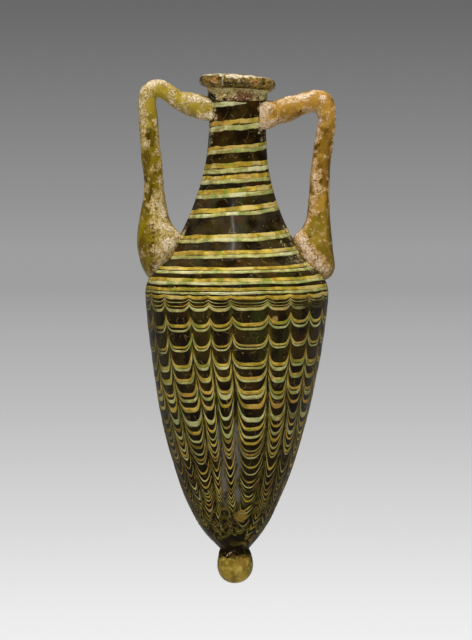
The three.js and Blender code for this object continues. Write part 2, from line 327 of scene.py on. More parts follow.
# share raised to cover inside each patch
def orPatches(tree, place, share, cover, ragged, patches):
    for *middle, reach in patches:
        share = maths(tree, "MAXIMUM", share, times(tree, patch(tree, place, middle, reach, ragged), cover))
    return share


# the vessel's outline over its threads, as (radius, height) points and their guide points
vessel = {
    "waist": (4.5, 10.9),
    "lowGuides": ((22.9, 27), (28.6, 84.2)),
    "belly": (farCorner("pale_thread")[0] + 0.1, 91),
    "shoulderGuides": ((28.6, 97.4), (22.4, 101.4)),
    "shoulder": (21, 102.2),
    "neckGuides": ((9.65, 123.2), (8.9, 131.9)),
    "neckEnd": (8.9, farCorner("vessel_wall")[2]),
    "leanHeights": (0, 9, 14, 24, 38, 47, 66, 92, 115, 126, 141, 160),
    "leanSideways": (-0.47, -0.5, -0.85, -1.2, -0.94, -0.78, -0.31, 0.16, -0.31, -0.16, 0.31, 0.2),
    "leanBack": (0, 0.05, 0.1, 0.3, 0.5, 0.4, 0.1, -0.2, 0.1, 0.3, 0.2, 0),
    "wallBelowThreads": 0.1,
    "lumpHeight": 0.13, "lumpSize": 9, "fineLumps": 0.35,
    "grooveDepth": 0.16, "grooveWidth": 1.1,
    "bodyWall": 3.4, "boreRadius": 4.8, "floorThickness": 7,
}


# cubic arc of four points: (1-t)^3 a + 3t(1-t)^2 b + 3t^2(1-t) c + t^3 d
def arc(a, b, c, d, count=400):
    t = np.linspace(0, 1, count)[:, None]
    a, b, c, d = (np.array(p) for p in (a, b, c, d))
    return (1 - t) ** 3 * a + 3 * t * (1 - t) ** 2 * b + 3 * t**2 * (1 - t) * c + t**3 * d


def outlineTable():
    upwards = np.vstack([
        arc(vessel["waist"], *vessel["lowGuides"], vessel["belly"]),
        arc(vessel["belly"], *vessel["shoulderGuides"], vessel["shoulder"])[1:],
        arc(vessel["shoulder"], *vessel["neckGuides"], vessel["neckEnd"])[1:],
    ])
    points = upwards[::-1]
    below = lengthAlong(points)
    along = np.gradient(points, below, axis=0)
    outwards = np.stack([-along[:, 1], along[:, 0]], -1)
    return below, points, outwards


outlineBelow, outlinePoints, outlineOutwards = outlineTable()
outlineLength = outlineBelow[-1]


# (radius, height) at a length below the end of the neck, moved out of the wall by lift
def outlineAt(below, lift=0):
    columns = (*outlinePoints.T, *outlineOutwards.T)
    radius, height, outR, outZ = (np.interp(below, outlineBelow, column) for column in columns)
    return radius + lift * outR, height + lift * outZ


def belowAt(height):
    return np.interp(-np.asarray(height, float), -outlinePoints[:, 1], outlineBelow)


def radiusAt(height):
    return np.interp(-np.asarray(height, float), -outlinePoints[:, 1], outlinePoints[:, 0])


def leaned(x, y, z):
    sideways = curveThrough(z, vessel["leanHeights"], vessel["leanSideways"])
    back = curveThrough(z, vessel["leanHeights"], vessel["leanBack"])
    return np.stack([x + sideways, y + back, z], -1)


# point on a circle about the leaning axis, and the place that its noise is read at; a is in radians
def turned(radius, a, height):
    return leaned(radius * np.sin(a), -radius * np.cos(a), height + 0 * a)


def noisePlace(radius, a, height):
    return radius * np.sin(a), radius * np.cos(a), height


# comb strokes: the azimuth of each where the twist is nothing, from the back round by the right
comb = {
    "azimuths": (
        183, 165, 147, 128, 110, 92, 74, 56, 39.5, 23,
        -1, -15.5, -28.5, -50, -67, -88, -106, -123, -141, -159,
    ),
    "twistHeights": (18, 35, 50, 66, 92),
    "twist": (7, 5.5, 3.2, 0, -3.5),
    "twistMoreOnRight": 0.45,
    "twistMoreOnLeft": 1.4,
    "wobble": 1.3, "wobbleTop": (95, 85),
    "grooveTop": (93, 80), "grooveFoot": (15, 26),
    "dragHeights": (14, 19, 27, 35, 50, 66, 75, 82, 88, 92.5),
    "drag": (1, 2, 3.6, 4.8, 5.8, 5.4, 4.2, 3, 1.8, 0),
    "shapeHeights": (20, 36, 50, 64, 80),
    "fullness": (2, 2.5, 3.2, 4.1, 3.3),
    "sideWidth": (0.1, 0.14, 0.23, 0.28, 0.26),
    "openLines": {10: 1, 11: 1.1, 9: 0.8, 13: 0.8},
    "openWidth": 0.5, "openHeights": (80, 45), "leastOpen": 0.05,
    "cutHeights": (86, 76), "dragChange": 0.28,
    "columnShiftHeights": (20, 40, 60, 85, 92),
    "columnShift": (1.3, 1.3, 0.8, 0.4, 0),
    "swirl": 3, "swirlHeights": (33, 22), "swirlSize": 5.5,
}
strokeCount = len(comb["azimuths"])
strokeAzimuths = np.array([*comb["azimuths"], comb["azimuths"][0] - 360], float)


# azimuth that a stroke-wise place had before the combing bent it sideways
def restAzimuth(stroke):
    turns = np.floor(stroke / strokeCount)
    return np.interp(stroke - turns * strokeCount, np.arange(strokeCount + 1), strokeAzimuths)


def sidewaysBend(azimuth, height):
    a = np.radians(azimuth)
    twist = curveThrough(height, comb["twistHeights"], comb["twist"])
    wobble = comb["wobble"] * lumps((6 * np.cos(a), 6 * np.sin(a), np.asarray(height) / 9), 1.0, 31)
    side = np.sin(a)
    onLeft = (side < 0) & (twist > 0)
    more = np.where(onLeft, comb["twistMoreOnLeft"] * side**2, comb["twistMoreOnRight"] * side)
    return twist * (1 + more) + wobble * easeStep(height, *comb["wobbleTop"])


# how near a place on the wall is to a stroke, 1 on it and 0 beyond its groove; or only to those in lines
def nearStroke(azimuth, height, width, lines=None):
    rest = np.array(azimuth, float)
    for _ in range(3):
        rest = azimuth - sidewaysBend(rest, height)
    rest = (rest - strokeAzimuths[-1]) % 360 + strokeAzimuths[-1]
    stroke = np.interp(-rest, -strokeAzimuths, np.arange(strokeCount + 1))
    line = np.round(stroke) % strokeCount
    toLine = np.abs(restAzimuth(line) - rest)
    toLine = np.minimum(toLine, 360 - toLine)
    combed = easeStep(height, *comb["grooveTop"]) * easeStep(height, *comb["grooveFoot"])
    if lines:
        combed = combed * np.isin(line, lines)
    return easeStep(np.radians(toLine) * radiusAt(height), width, 0) * combed


# point of the vessel's surface: the outline turned about the leaning axis, with soft lumps and comb grooves
def onVessel(azimuth, below, lift):
    below = np.asarray(below, float)
    radius, height = outlineAt(below)
    a = np.radians(azimuth)
    seed = noisePlace(radius, a, height)
    bumps = lumps(seed, vessel["lumpSize"], 1) + vessel["fineLumps"] * lumps(seed, vessel["lumpSize"] / 3, 2)
    groove = vessel["grooveDepth"] * nearStroke(azimuth, height, vessel["grooveWidth"])
    calm = easeStep(below, 0.5, 6) * easeStep(outlineLength - below, 0, 4)
    radius, height = outlineAt(below, lift + calm * (vessel["lumpHeight"] * bumps - groove))
    return turned(radius, a, height)


# crust of burial deposit on the wall: middles (x, y, z), reach and strength
wallCrust = (
    (19.5, -6, 105, 6.5, 0.8), (22, -9, 100, 6.5, 0.65), (16.5, -4, 110.5, 4.5, 1), (15, -11, 106, 5, 0.5),
    (25, -7, 95, 5, 0.4), (17.5, -12.5, 101.5, 5, 0.45), (-16.8, -4, 109.8, 4, 1), (-21, -6.5, 103, 4, 0.4),
    (8, -5, 150, 2.4, 1), (8.2, -4.8, 143, 2.6, 1), (8.6, -2.6, 140, 2.2, 0.8),
    (-7.6, -4.6, 147.5, 3, 0.95), (-8.2, -3.4, 141.5, 3, 0.95), (-8.6, -2, 138.4, 3, 0.8),
    (-7.5, -3.5, 151, 2, 0.7), (7.5, 6, 147, 4.6, 0.9), (-8, 4, 147.5, 3.6, 0.9), (20, 6, 104, 7, 0.6),
    (-20, 6, 104, 6, 0.6), (0, 27, 70, 12, 0.25), (-15, 20, 45, 9, 0.25), (-2.6, -4.6, 9.6, 2.4, 0.6),
    (3, 4, 9.6, 3.6, 0.5), (7, -5.6, 148.6, 1.9, 0.9), (7, -5.6, 145.4, 1.9, 0.9), (7.2, -5.2, 142, 2.1, 1),
    (7.6, -4.6, 139.4, 1.9, 0.8), (-7.2, -5.4, 150.5, 2.2, 1), (-7.2, -5.4, 146.4, 2.3, 1),
    (-7.7, -4.7, 142.4, 2.1, 0.9), (-8, -4.2, 138.6, 1.9, 0.7),
)


# each spot fades out from its middle; spots that meet add up
def crustAt(points, spots):
    bare = np.ones(points.shape[:-1])
    for x, y, z, reach, strength in spots:
        away = np.linalg.norm(points - np.array([x, y, z]), axis=-1)
        bare = bare * (1 - min(strength, 1) * easeStep(reach - away, 0, reach))
    return 1 - bare


# base knob: half a ball, drawn in above to the waist that it hangs from, under the edge of the dark film
knob = {
    "around": 220, "ballRows": 90, "upperRows": 50, "lump": 0.1, "fineLump": 0.03,
    "radius": 5.6, "drawnIn": 1.25, "filmEdge": 8.8, "filmEdgeWander": 0.9,
    "low": "#725f1c",
    "high": ("#a68c35", 1, 3.2, 0.36, 0.64, 4),
    "tan": ("#b5a155", 1, 1.6, 0.55, 0.7, 4),
    "fleck": ("#e9dfc4", 1, 0.5, 0.7, 0.76, 2),
    "pit": "#3c2f0e", "pits": (0.9, 0.66, 0.72, 2),
    "warm": ("#92702f", 0.6, 1, (2.2, -5, 7.4, 2.6)),
    "stain": "#3a2b0c", "stainFrom": (9.4, 11.2), "stainRagged": 4, "stainCover": 0.85,
    "sideStains": (0.75, 0.5, ((-6, 0.4, 6.8, 3.6), (5.1, 0.4, 6.8, 3.4))),
    "glaze": (0.15, 0.2), "relief": (0.08, 0.6),
    "sockets": {
        "Roughness": 0.5,
        "Subsurface Weight": 0.25, "Subsurface Radius": (1, 0.7, 0.25), "Subsurface Scale": 0.0015,
    },
}


def knobRadius(height):
    up = np.clip((height - knob["radius"]) / (vessel["waist"][1] - knob["radius"]), 0, 1)
    return knob["radius"] - knob["drawnIn"] * up**2.2


def knobLumps(radius, a, height):
    seed = noisePlace(radius, a, height)
    return knob["lump"] * lumps(seed, 4.0, 71) + knob["fineLump"] * layeredLumps(seed, 1.4, 72)


wallMesh = {
    "around": 320, "filmRows": 12, "outsideRows": 236, "insideRows": 34,
    "tuckRadius": 3.5, "insideLump": 0.25, "combedWidth": 1.6, "paintedReflectionWidth": 1.9, "crustInside": 0.5,
}


# film of dark glass that runs down over the knob, its lower edge ragged and tucked under
def filmOverKnob(a):
    waistHeight = vessel["waist"][1]
    wander = knob["filmEdgeWander"] * layeredLumps(noisePlace(2.2, a, 0), 1.0, 5)
    edge = knob["filmEdge"] + wander + 0.3 * np.sin(a)
    share = np.linspace(0, 1, wallMesh["filmRows"])[:, None]
    height = edge + (waistHeight - edge) * share
    radius = knobRadius(height) + 0.15 * share + 0.06 * easeStep(share, 0, 0.2) - 0.02
    radius = radius + (1 - share) * knobLumps(radius, a, height)
    return np.vstack([turned(wallMesh["tuckRadius"], a, edge + 0.3), turned(radius, a, height)])


# inside of the wall, from the end of the neck down to the floor
def wallInside(a):
    floorHeight = vessel["waist"][1] + vessel["floorThickness"]
    below = np.linspace(0, belowAt(floorHeight + 2.2), wallMesh["insideRows"])[:, None]
    inBody = easeStep(below, 0.3 * belowAt(vessel["shoulder"][1]), belowAt(vessel["belly"][1]))
    neckWall = vessel["neckEnd"][0] - vessel["boreRadius"]
    radius, height = outlineAt(below, -(neckWall + (vessel["bodyWall"] - neckWall) * inBody))
    bumps = lumps(noisePlace(radius, a, height), 7.0, 8)
    return turned(radius + wallMesh["insideLump"] * bumps * easeStep(below, 2, 12), a, height)


# dark wall: film over the knob, outside, end of the neck and inside, closed at the knob and on the floor
def vesselWall():
    w = wallMesh
    azimuth = np.arange(w["around"])[None, :] * 360 / w["around"]
    a = np.radians(azimuth)
    film = filmOverKnob(a)
    below = outlineLength * (1 - np.linspace(0, 1, w["outsideRows"])[1:, None])
    outer = onVessel(azimuth, below, -vessel["wallBelowThreads"])
    grid = np.vstack([film, outer, wallInside(a)])
    outerRows = slice(len(film), len(film) + len(outer))
    height = outlineAt(below)[1] + 0 * azimuth
    combed, paintedReflectionShare = np.zeros((2, *grid.shape[:2]))
    combed[outerRows] = nearStroke(azimuth, height, w["combedWidth"])
    # the film mark: two strokes of the lower body where a grey reflection is painted on the wall
    paintedReflectionShare[outerRows] = nearStroke(azimuth, height, w["paintedReflectionWidth"], wallFinish["paintedReflectionLines"])
    crust = crustAt(grid, wallCrust)
    crust[outerRows.stop :] = w["crustInside"]
    return skin("vesselWall", grid, {"combed": combed, "crust": crust, "film": paintedReflectionShare})


wallFinish = {
    "dark": "#150d03",
    "lit": ("#302408", 1, 6, 0.4, 0.62),
    "brown": ("#3f2408", 1, 9, 0.55, 0.75),
    "green": ("#27290a", 1, 5, 0.52, 0.7),
    # painted shade: the deep tone is laid towards the foot, where the lower body faces downward
    "deep": "#0e0702", "paintedShadeHeights": (76, 52), "paintedShadeCover": 0.6,
    # painted sheen: a grey tone on the sloping shoulder, standing in for the reflection of the light from
    # above
    "paintedSheen": ("#4a4232", 0.3, 5, 0.36, 0.62), "paintedSheenHeights": (96, 104, 118, 130),
    "olive": ("#5f5518", 0.6, 0.9, 0.44, 0.62),
    # film: a painted reflection, grey-blue stripes along two strokes of the lower body
    "film": ("#6d6760", 0.8, 1.6, 0.34, 0.6), "paintedReflectionLines": (10, 11), "paintedReflectionHeights": (22, 30, 47, 55),
    "thin": ("#5c4818", 0.8, 0.9, 0.44, 0.6), "thinBelow": (10.2, 8.6),
    "scratch": ("#8a7443", 0.5, 4, 0.1),
    "speckLow": "#7d6a40",
    "speckHigh": ("#c9b78c", 1, 0.6, 0.4, 0.6),
    "specks": (0.8, 5, 0.32, 0.66, 0.8), "speckCover": 0.85,
    "roughness": (0.3, 0.5), "relief": (0.06, 0.5),
    "glaze": (0.035, 0.14),
    "swirlHeights": (32, 22, 12.5, 11), "swirlSize": 10, "swirlCount": 11, "swirlCover": 0.75,
    "swirlOlive": "#5f5a1c",
    "swirlOchre": ("#7d6424", 1, 4.5, 0.44, 0.6, 2),
    "swirlBrown": ("#52340e", 1, 3, 0.56, 0.66, 2),
    "stains": (
        ("#6b4418", 1, 0.5, (-20.6, -17, 54, 3.2)),
        ("#94763f", 1, 0.5, (12, -25.9, 84.2, 1.3)),
        ("#6b3c14", 1, 0.5, (9.5, -13, 25, 3)),
        ("#5c3512", 1, 0.5, (20.5, -9, 44, 3.2), (17.2, -9.6, 34, 2.8)),
        ("#4d2f12", 1, 0.5, (22, -11, 54, 2.4)),
        ("#84692c", 1, 0.5, (1.5, -12.5, 21.5, 2.6)),
        ("#6f7226", 1, 0.5, (-5.6, -8.8, 15.6, 1.6)),
        ("#231420", 1, 0.5, (4, -16.6, 25, 1.4)),
    ),
}


# swirled glass near the foot: lines of equal value in a soft noise, like the lines on a map of hills
def swirls(tree, place, colour):
    f = wallFinish
    hills = rawGrain(tree, objectPlace(tree, (1, 1, 0.7)), f["swirlSize"], 1.2)
    bands = maths(tree, "PINGPONG", times(tree, hills, f["swirlCount"]), 0.5)
    line = remap(tree, uneven(tree, place, bands, 1.0, 3, 0.3), 0.32, 0.5)
    line = times(tree, line, band(tree, place, *f["swirlHeights"]))
    tone = layer(tree, place, f["swirlOlive"], *f["swirlOchre"])
    tone = layer(tree, place, tone, *f["swirlBrown"])
    return layer(tree, place, colour, tone, f["swirlCover"], 4.0, 0.42, 0.62, 2, within=line)


# specks of deposit, closer together in the crust
def specks(tree, place, size, detail, inCrust, low, high):
    crust = times(tree, mark(tree, "crust"), inCrust)
    return remap(tree, uneven(tree, place, crust, size, detail), low, high)


def darkGlass():
    material, tree, shader = newFinish("darkGlass")
    f = wallFinish
    place = objectPlace(tree)
    downwards = objectPlace(tree, (1, 1, 0.12))
    colour = layer(tree, place, f["dark"], *f["lit"])
    colour = layer(tree, place, colour, *f["brown"])
    colour = layer(tree, downwards, colour, *f["green"])
    # painted shade: darker towards the foot, where the lower body faces downward
    colour = laid(tree, colour, f["deep"], byHeight(tree, place, *f["paintedShadeHeights"]), f["paintedShadeCover"])
    # painted sheen on the shoulder, for the reflection of the light from above
    colour = layer(tree, place, colour, *f["paintedSheen"], within=band(tree, place, *f["paintedSheenHeights"]))
    colour = layer(tree, downwards, colour, *f["olive"], within=mark(tree, "combed"))
    # painted reflection: grey-blue stripes along two comb strokes of the lower body
    paintedReflectionShare = times(tree, band(tree, place, *f["paintedReflectionHeights"]), mark(tree, "film"))
    colour = layer(tree, downwards, colour, *f["film"], within=paintedReflectionShare)
    colour = spotted(tree, place, colour, f["stains"])
    colour = swirls(tree, place, colour)
    colour = layer(tree, place, colour, *f["thin"], within=byHeight(tree, place, *f["thinBelow"]))
    colour = scratched(tree, place, colour, *f["scratch"])
    speck = specks(tree, place, *f["specks"])
    colour = laid(tree, colour, layer(tree, place, f["speckLow"], *f["speckHigh"]), speck, f["speckCover"])
    rough = remap(tree, rawGrain(tree, place, 3), 0.35, 0.7, *f["roughness"])
    glaze(tree, shader, *f["glaze"], {
        "Base Color": colour,
        "Roughness": maths(tree, "ADD", rough, times(tree, speck, 0.4)),
        "Normal": relief(tree, uneven(tree, place, speck, 0.8, 4), *f["relief"]),
    })
    return material


# the threads: for each turn the height of its middle at the front, its width and how orange it runs there
yellowRows = (
    (145, 1.6, 0.8), (137.2, 1.1, 0.6), (131.6, 1.8, 0.1), (127.8, 1.5, 0.3), (123.7, 1.8, 0.1),
    (118.1, 1.7, 0.3), (109.7, 1.5, 0.3), (104.8, 1.45, 0.3), (100, 1.45, 0.2), (96.5, 1.4, 0.2),
    (93.6, 1.2, 0.3), (90.9, 1.3, 0.2), (88.4, 0.12, 0.3), (82.5, 1.15, 0.2), (75.8, 0.62, 0.2),
    (69.9, 1.1, 0.2), (65.6, 0.9, 0.3), (61.2, 1, 0.4), (56.8, 1.3, 0.6), (49.7, 0.95, 0.1),
    (45.1, 0.9, 0.3), (41.2, 0.7, 0.7), (36.9, 0.7, 0.2), (32.1, 0.55, 0.1), (29.1, 0.48, 0.5),
    (26.4, 0.48, 0.4), (23.6, 0.5, 0.4), (20.8, 0.55, 0.3), (18, 0.6, 0.3), (15.6, 0.55, 0.3),
)
paleRows = (
    (150.8, 1.6, 0), (143.3, 1.7, 0.1), (136.2, 1.5, 0.3), (129.9, 1.6, 0), (126.6, 1.4, 0.1),
    (122.4, 1.5, 0.1), (116.7, 1.4, 0), (108.6, 1.3, 0.1), (103.6, 1.25, 0), (98.9, 1.2, 0),
    (95.5, 1.1, 0.1), (92.5, 0.95, 0), (89.4, 0.12, 0), (87.3, 1, 0.3), (81, 0.75, 0), (74.8, 0.55, 0.1),
    (68.8, 0.9, 0), (64.9, 0.8, 0.1), (59.6, 1.25, 0), (52.5, 1.5, 0), (47.1, 0.95, 0.2), (42.7, 0.75, 0.3),
    (40.1, 0.52, 0.3), (34.4, 0.52, 0.4), (30.2, 0.46, 0.5), (27.6, 0.46, 0.4), (25, 0.5, 0.3),
    (22.2, 0.58, 0.2), (19.4, 0.65, 0.2), (16.6, 0.7, 0.1),
)
winding = {
    "frontPlace": 0.475,  # share of a turn, from its start at the back, where the rows above are
    "levelHeights": (84, 92, 105, 114, 122, 130, 137, 146),
    "level": (0.1, 0.45, 0.45, 0.3, 0.05, 0.2, 0.45, 0.6),
    "plainSteps": 16, "combedSteps": 18, "combedBelow": 96,
    "wave": 0.28, "widthChange": 0.16, "edgeFine": 0.08, "edgeSlow": 0.2, "brightChange": 0.16,
    "proud": 0.015, "crest": 0.055,
    "root": 0.45,
    "sunk": 0.5,  # how deep a thread dips where the comb has cut it through
    "yellowStart": 3,
    "paleStart": 9.05,
    # painted shade: the threads grow darker towards the foot, where the lower body faces downward
    "brightHeights": (12, 30, 60, 96, 155),
    "bright": (0.45, 0.88, 1.04, 1, 1),
    "sideFadeHeights": (30, 50, 66, 86),
    "sideFade": (0.85, 0.62, 0.4, 0.15),
    # darker places: azimuth, height, how wide in degrees, how high, and how dark; the wide ones near the left
    # and right sides (azimuths of about 60 to 80) are painted shade where the vessel turns away from the
    # light, the others are darker patches and single dim rows
    "dimPlaces": (
        (-74, 78, 26, 20, 0.65), (-74, 52, 18, 22, 0.4), (78, 70, 16, 26, 0.3), (-66, 28, 26, 15, 0.55),
        (58, 34, 14, 9, 0.45), (2, 20, 26, 5, 0.5), (75, 22, 30, 9, 0.5), (-34, 40, 9, 6, 0.35),
        (120, 40, 20, 12, 0.4), (-150, 60, 24, 14, 0.35), (170, 34, 22, 10, 0.4),
        (19.5, 34.4, 17, 1.1, 0.85), (19.5, 29.7, 16, 1.1, 0.85), (72, 88.2, 54, 2, 0.9),
        (-62, 78.8, 42, 1.2, 0.8), (60, 80, 40, 2, 0.35), (21, 25.7, 16, 1, 0.8), (-44, 33, 9, 1.1, 0.8),
        (-20, 37.5, 8, 1.1, 0.7), (45, 40, 9, 1.2, 0.7),
    ),
    "creamSize": 6.5,
    "columnHeight": 4.2, "columnHeights": (66, 52),
}


# how far the comb has dragged the glass up: depth * u^fullness, where u is 1 on a stroke and 0 midway;
# a band's lower edge (across = 1) lags behind, which keeps the rising sides of each festoon a little wide
def combDrag(stroke, below, across):
    height = outlineAt(below)[1]
    line = np.floor(stroke)
    share = stroke - line
    near = np.where(share < 0.5, line, line + 1) % strokeCount
    line = line % strokeCount
    columnAngle = restAzimuth(line) - strokeAzimuths[(line + 1).astype(int)]
    columnWidth = np.radians(columnAngle) * radiusAt(height)
    opening = openWidth(near, height) / columnWidth
    toStroke = np.abs(2 * share - 1)
    u = np.clip(toStroke / (1 - opening), 0, 1)
    sideWidth = curveThrough(height, comb["shapeHeights"], comb["sideWidth"])
    fullness = curveThrough(height, comb["shapeHeights"], comb["fullness"]) * (columnWidth / 7) ** 0.75
    lag = 1 - np.minimum(2 * sideWidth / columnWidth, 0.3) * (1 + across) / 2
    gain = 1 + comb["dragChange"] * lumps((near + 0.5, height / 14), 1.0, 41)
    drag = curveThrough(height, comb["dragHeights"], comb["drag"]) * (height < comb["dragHeights"][-1])
    hidden = easeStep(toStroke, 1 - opening, 1 - 0.4 * opening) * easeStep(height, *comb["cutHeights"])
    shift = lumps((line * 5.3, height / 16), 1.0, 43)
    shift = shift * np.interp(height, comb["columnShiftHeights"], comb["columnShift"])
    return drag * gain * (u * lag) ** fullness + shift, hidden, u


# bare width left along a stroke, in millimetres
def openWidth(line, height):
    wide = np.full(np.shape(line), comb["openWidth"])
    for index, width in comb["openLines"].items():
        wide = np.where(line == index, width, wide)
    return wide * easeStep(height, *comb["openHeights"]) + comb["leastOpen"]


# stations down a thread: place along the strokes, middle below the end of the neck, width, the way come
# and how orange it is; it runs through the rows at the front, more level there than a plain helix
def threadRun(rows, start, seed):
    w = winding
    rowHeight, rowWidth, rowOrange = np.array(rows).T
    rowTurn = np.arange(len(rows)) + w["frontPlace"]
    rowBelow = belowAt(rowHeight)
    plainEnd = np.floor((rowTurn[rowHeight < w["combedBelow"]][0] - 0.5) * strokeCount)
    end = (rowTurn[-1] + 0.3) * strokeCount
    plain = np.arange(start, plainEnd, 1 / w["plainSteps"])
    curl = (1 - np.cos(np.arange(w["combedSteps"]) * math.pi / w["combedSteps"])) / 2
    combed = (np.arange(plainEnd, end)[:, None] + curl).ravel()
    stroke = np.concatenate([plain, combed])[:, None]
    turn = stroke / strokeCount
    middle = curveThrough(turn, rowTurn, rowBelow)
    pitch = np.interp(turn, (rowTurn[1:] + rowTurn[:-1]) / 2, np.diff(rowBelow))
    middle = middle + np.minimum(turn - rowTurn[0], 0) * pitch
    level = np.interp(outlineAt(middle)[1], w["levelHeights"], w["level"])
    middle = middle - level * pitch * np.sin(2 * math.pi * (turn - w["frontPlace"])) / (2 * math.pi)
    turnedBy = np.abs(np.diff(restAzimuth(stroke), axis=0, prepend=comb["azimuths"][0])) % 60
    travelled = np.cumsum(np.radians(turnedBy) * 20, axis=0)
    middle = middle + w["wave"] * layeredLumps((travelled, middle), 9.0, seed)
    ends = easeStep(stroke - start, 0, 1.6) * easeStep(end - stroke, 0, 5)
    width = np.interp(turn, rowTurn, rowWidth) * (0.15 + 0.85 * ends)
    width = width * (1 + w["widthChange"] * layeredLumps((travelled, middle), 5.0, seed + 20))
    return stroke, middle, width, travelled, np.interp(turn, rowTurn, rowOrange)


# the glass near the foot, moved round and down by soft noise
def swirled(azimuth, below, height):
    swirl = comb["swirl"] * easeStep(height, *comb["swirlHeights"])
    radius = outlineAt(below)[0]
    place = noisePlace(radius, np.radians(azimuth), height)
    down, aside = (swirl * layeredLumps(place, comb["swirlSize"], seed, 2) for seed in (51, 61))
    return azimuth + np.degrees(aside / np.maximum(radius, 5)), below + down


# one unbroken thread: a flat ribbon with a rounded top, wound down the wall and dragged by the comb
def woundThread(name, rows, start, seed):
    w = winding
    stroke, middle, width, travelled, orange = threadRun(rows, start, seed)
    middleHeight = outlineAt(middle)[1]
    column = (np.floor(stroke) % strokeCount * 3.7, middleHeight / w["columnHeight"])
    patchy = easeStep(middleHeight, *w["columnHeights"])
    width = width * (1 + patchy * (0.15 + 0.55 * lumps(column, 1.0, seed + 70)))
    t = np.array([-1, -0.97, -0.6, 0, 0.6, 0.97, 1])[None, :]
    raggedPlace = (travelled + 40 * np.sign(t), middle)
    edge = 1 + w["edgeFine"] * lumps(raggedPlace, 0.9, seed + 30)
    edge = edge + w["edgeSlow"] * lumps(raggedPlace, 4.0, seed + 31)
    edgeBelow = middle + 0.5 * width * t * edge
    drag, hidden, onSide = combDrag(stroke + 0 * t, edgeBelow, t)
    height = outlineAt(edgeBelow - drag)[1]
    azimuth = restAzimuth(stroke) + 0 * t
    azimuth, below = swirled(azimuth + sidewaysBend(azimuth, height), edgeBelow - drag, height)
    below = np.clip(below, 0.2, outlineLength - 0.3)
    dome = w["crest"] * (1 - np.abs(t) ** 3) * np.minimum(width / 0.9, 1)
    lift = -vessel["wallBelowThreads"] + w["proud"] + dome - (np.abs(t) == 1) * w["root"] - hidden * w["sunk"]
    grid = onVessel(azimuth, below, lift)
    orange = easeStep(layeredLumps((travelled, 0.3 * middle), 16.0, seed + 40) * 0.75 + orange, 0.45, 0.75)
    # bright: random drift along the thread, with painted shade towards the foot and at the darker places by
    # the sides
    bright = curveThrough(height, w["brightHeights"], w["bright"])
    bright = bright * (1 + w["brightChange"] * layeredLumps((travelled, middle), 7.0, seed + 50))
    bright = bright * np.clip(1 + patchy * (0.1 + 0.8 * lumps(column, 1.0, seed + 80)), 0.2, 1.3)
    bright = bright * (1 - np.interp(height, w["sideFadeHeights"], w["sideFade"]) * onSide**2)
    for dimAzimuth, dimHeight, wide, high, strength in w["dimPlaces"]:
        away = np.hypot((azimuth - dimAzimuth) / wide, (height - dimHeight) / high)
        bright = bright * (1 - strength * easeStep(away, 1, 0.4))
    cream = easeStep(lumps((travelled, 3 * middle), w["creamSize"], seed + 60), 0.2, 0.4)
    cream = cream * (0.6 + 0.4 * easeStep(height, 70, 96)) * (1 - 0.7 * onSide * (height < 90))
    marks = {
        "across": t, "orange": orange * (1 - 0.9 * onSide**2), "cream": cream, "bright": bright,
        "crust": crustAt(grid, wallCrust),
    }
    return skin(name, grid, marks)


threadFinish = {
    "yellow": {
        "low": "#967b26", "high": "#c9ab46", "warm": "#b98e46", "fleck": "#86862c", "cream": "#ccb670",
        "foot": "#ad9434",
    },
    "pale": {
        "low": "#918e4c", "high": "#c0bd7c", "warm": "#bc9c58", "fleck": "#8e9a58", "cream": "#d2cd9e",
        "foot": "#bab06a",
    },
    "highPatches": (1, 2.6, 0.36, 0.66),
    "fleckPatches": (1, 4, 0.53, 0.64),
    "brown": ("#8a6026", 1, 3.5, 0.5, 0.64), "footHeights": (50, 36), "footCover": 0.75,
    "streak": ("#6e5226", 0.55, 0.6, 0.5, 0.66), "streakStretch": 0.12, "streakShift": 0.7,
    "edge": "#4e4216",
    "pit": "#54431a", "pits": (0.7, 0.6, 0.7, 2),
    "scratch": ("#6e5226", 0.3, 5, 0.12),
    "deep": "#261f0b",
    "speck": "#e9dfc8", "specks": (0.6, 3, 0.2, 0.68, 0.76),
    "glaze": (0.03, 0.18), "roughness": (0.45, 0.65), "relief": (0.06, 0.4),
}


# opaque thread glass: tones that drift along it, streaks drawn out along it, darker edges, pits and specks
def threadGlass(name, tones):
    material, tree, shader = newFinish(name)
    f = threadFinish
    place = objectPlace(tree)
    colour = layer(tree, place, tones["low"], tones["high"], *f["highPatches"])
    colour = layer(tree, place, colour, tones["fleck"], *f["fleckPatches"])
    colour = laid(tree, colour, tones["cream"], mark(tree, "cream"), 0.65)
    colour = laid(tree, colour, tones["warm"], mark(tree, "orange"), 0.85)
    footTone = layer(tree, place, tones["foot"], *f["brown"])
    colour = laid(tree, colour, footTone, byHeight(tree, place, *f["footHeights"]), f["footCover"])
    slide = times(tree, mark(tree, "across"), f["streakShift"] / 1000)
    slide = addNode(tree, "CombineXYZ", {"Z": slide}).outputs[0]
    drawn = vectorMaths(tree, "ADD", objectPlace(tree, [f["streakStretch"]] * 3), slide)
    colour = layer(tree, drawn, colour, *f["streak"])
    across = maths(tree, "ABSOLUTE", mark(tree, "across"))
    edge = remap(tree, uneven(tree, place, across, 0.9, 3, 0.6), 0.95, 1.4, 0, 0.65)
    colour = laid(tree, colour, f["edge"], edge)
    pit = grain(tree, place, *f["pits"])
    colour = laid(tree, colour, f["pit"], pit, 0.4)
    colour = scratched(tree, place, colour, *f["scratch"])
    # the deep tone where bright is low: partly random drift, partly painted shade towards the foot and the
    # sides
    colour = laid(tree, colour, f["deep"], maths(tree, "SUBTRACT", 1.0, mark(tree, "bright")))
    colour = laid(tree, colour, f["speck"], specks(tree, place, *f["specks"]), 0.7)
    glaze(tree, shader, *f["glaze"], {
        "Base Color": colour,
        "Roughness": remap(tree, rawGrain(tree, place, 1.5), 0.3, 0.7, *f["roughness"]),
        "Normal": relief(tree, maths(tree, "SUBTRACT", rawGrain(tree, place, 1.0), pit), *f["relief"]),
    })
    return material


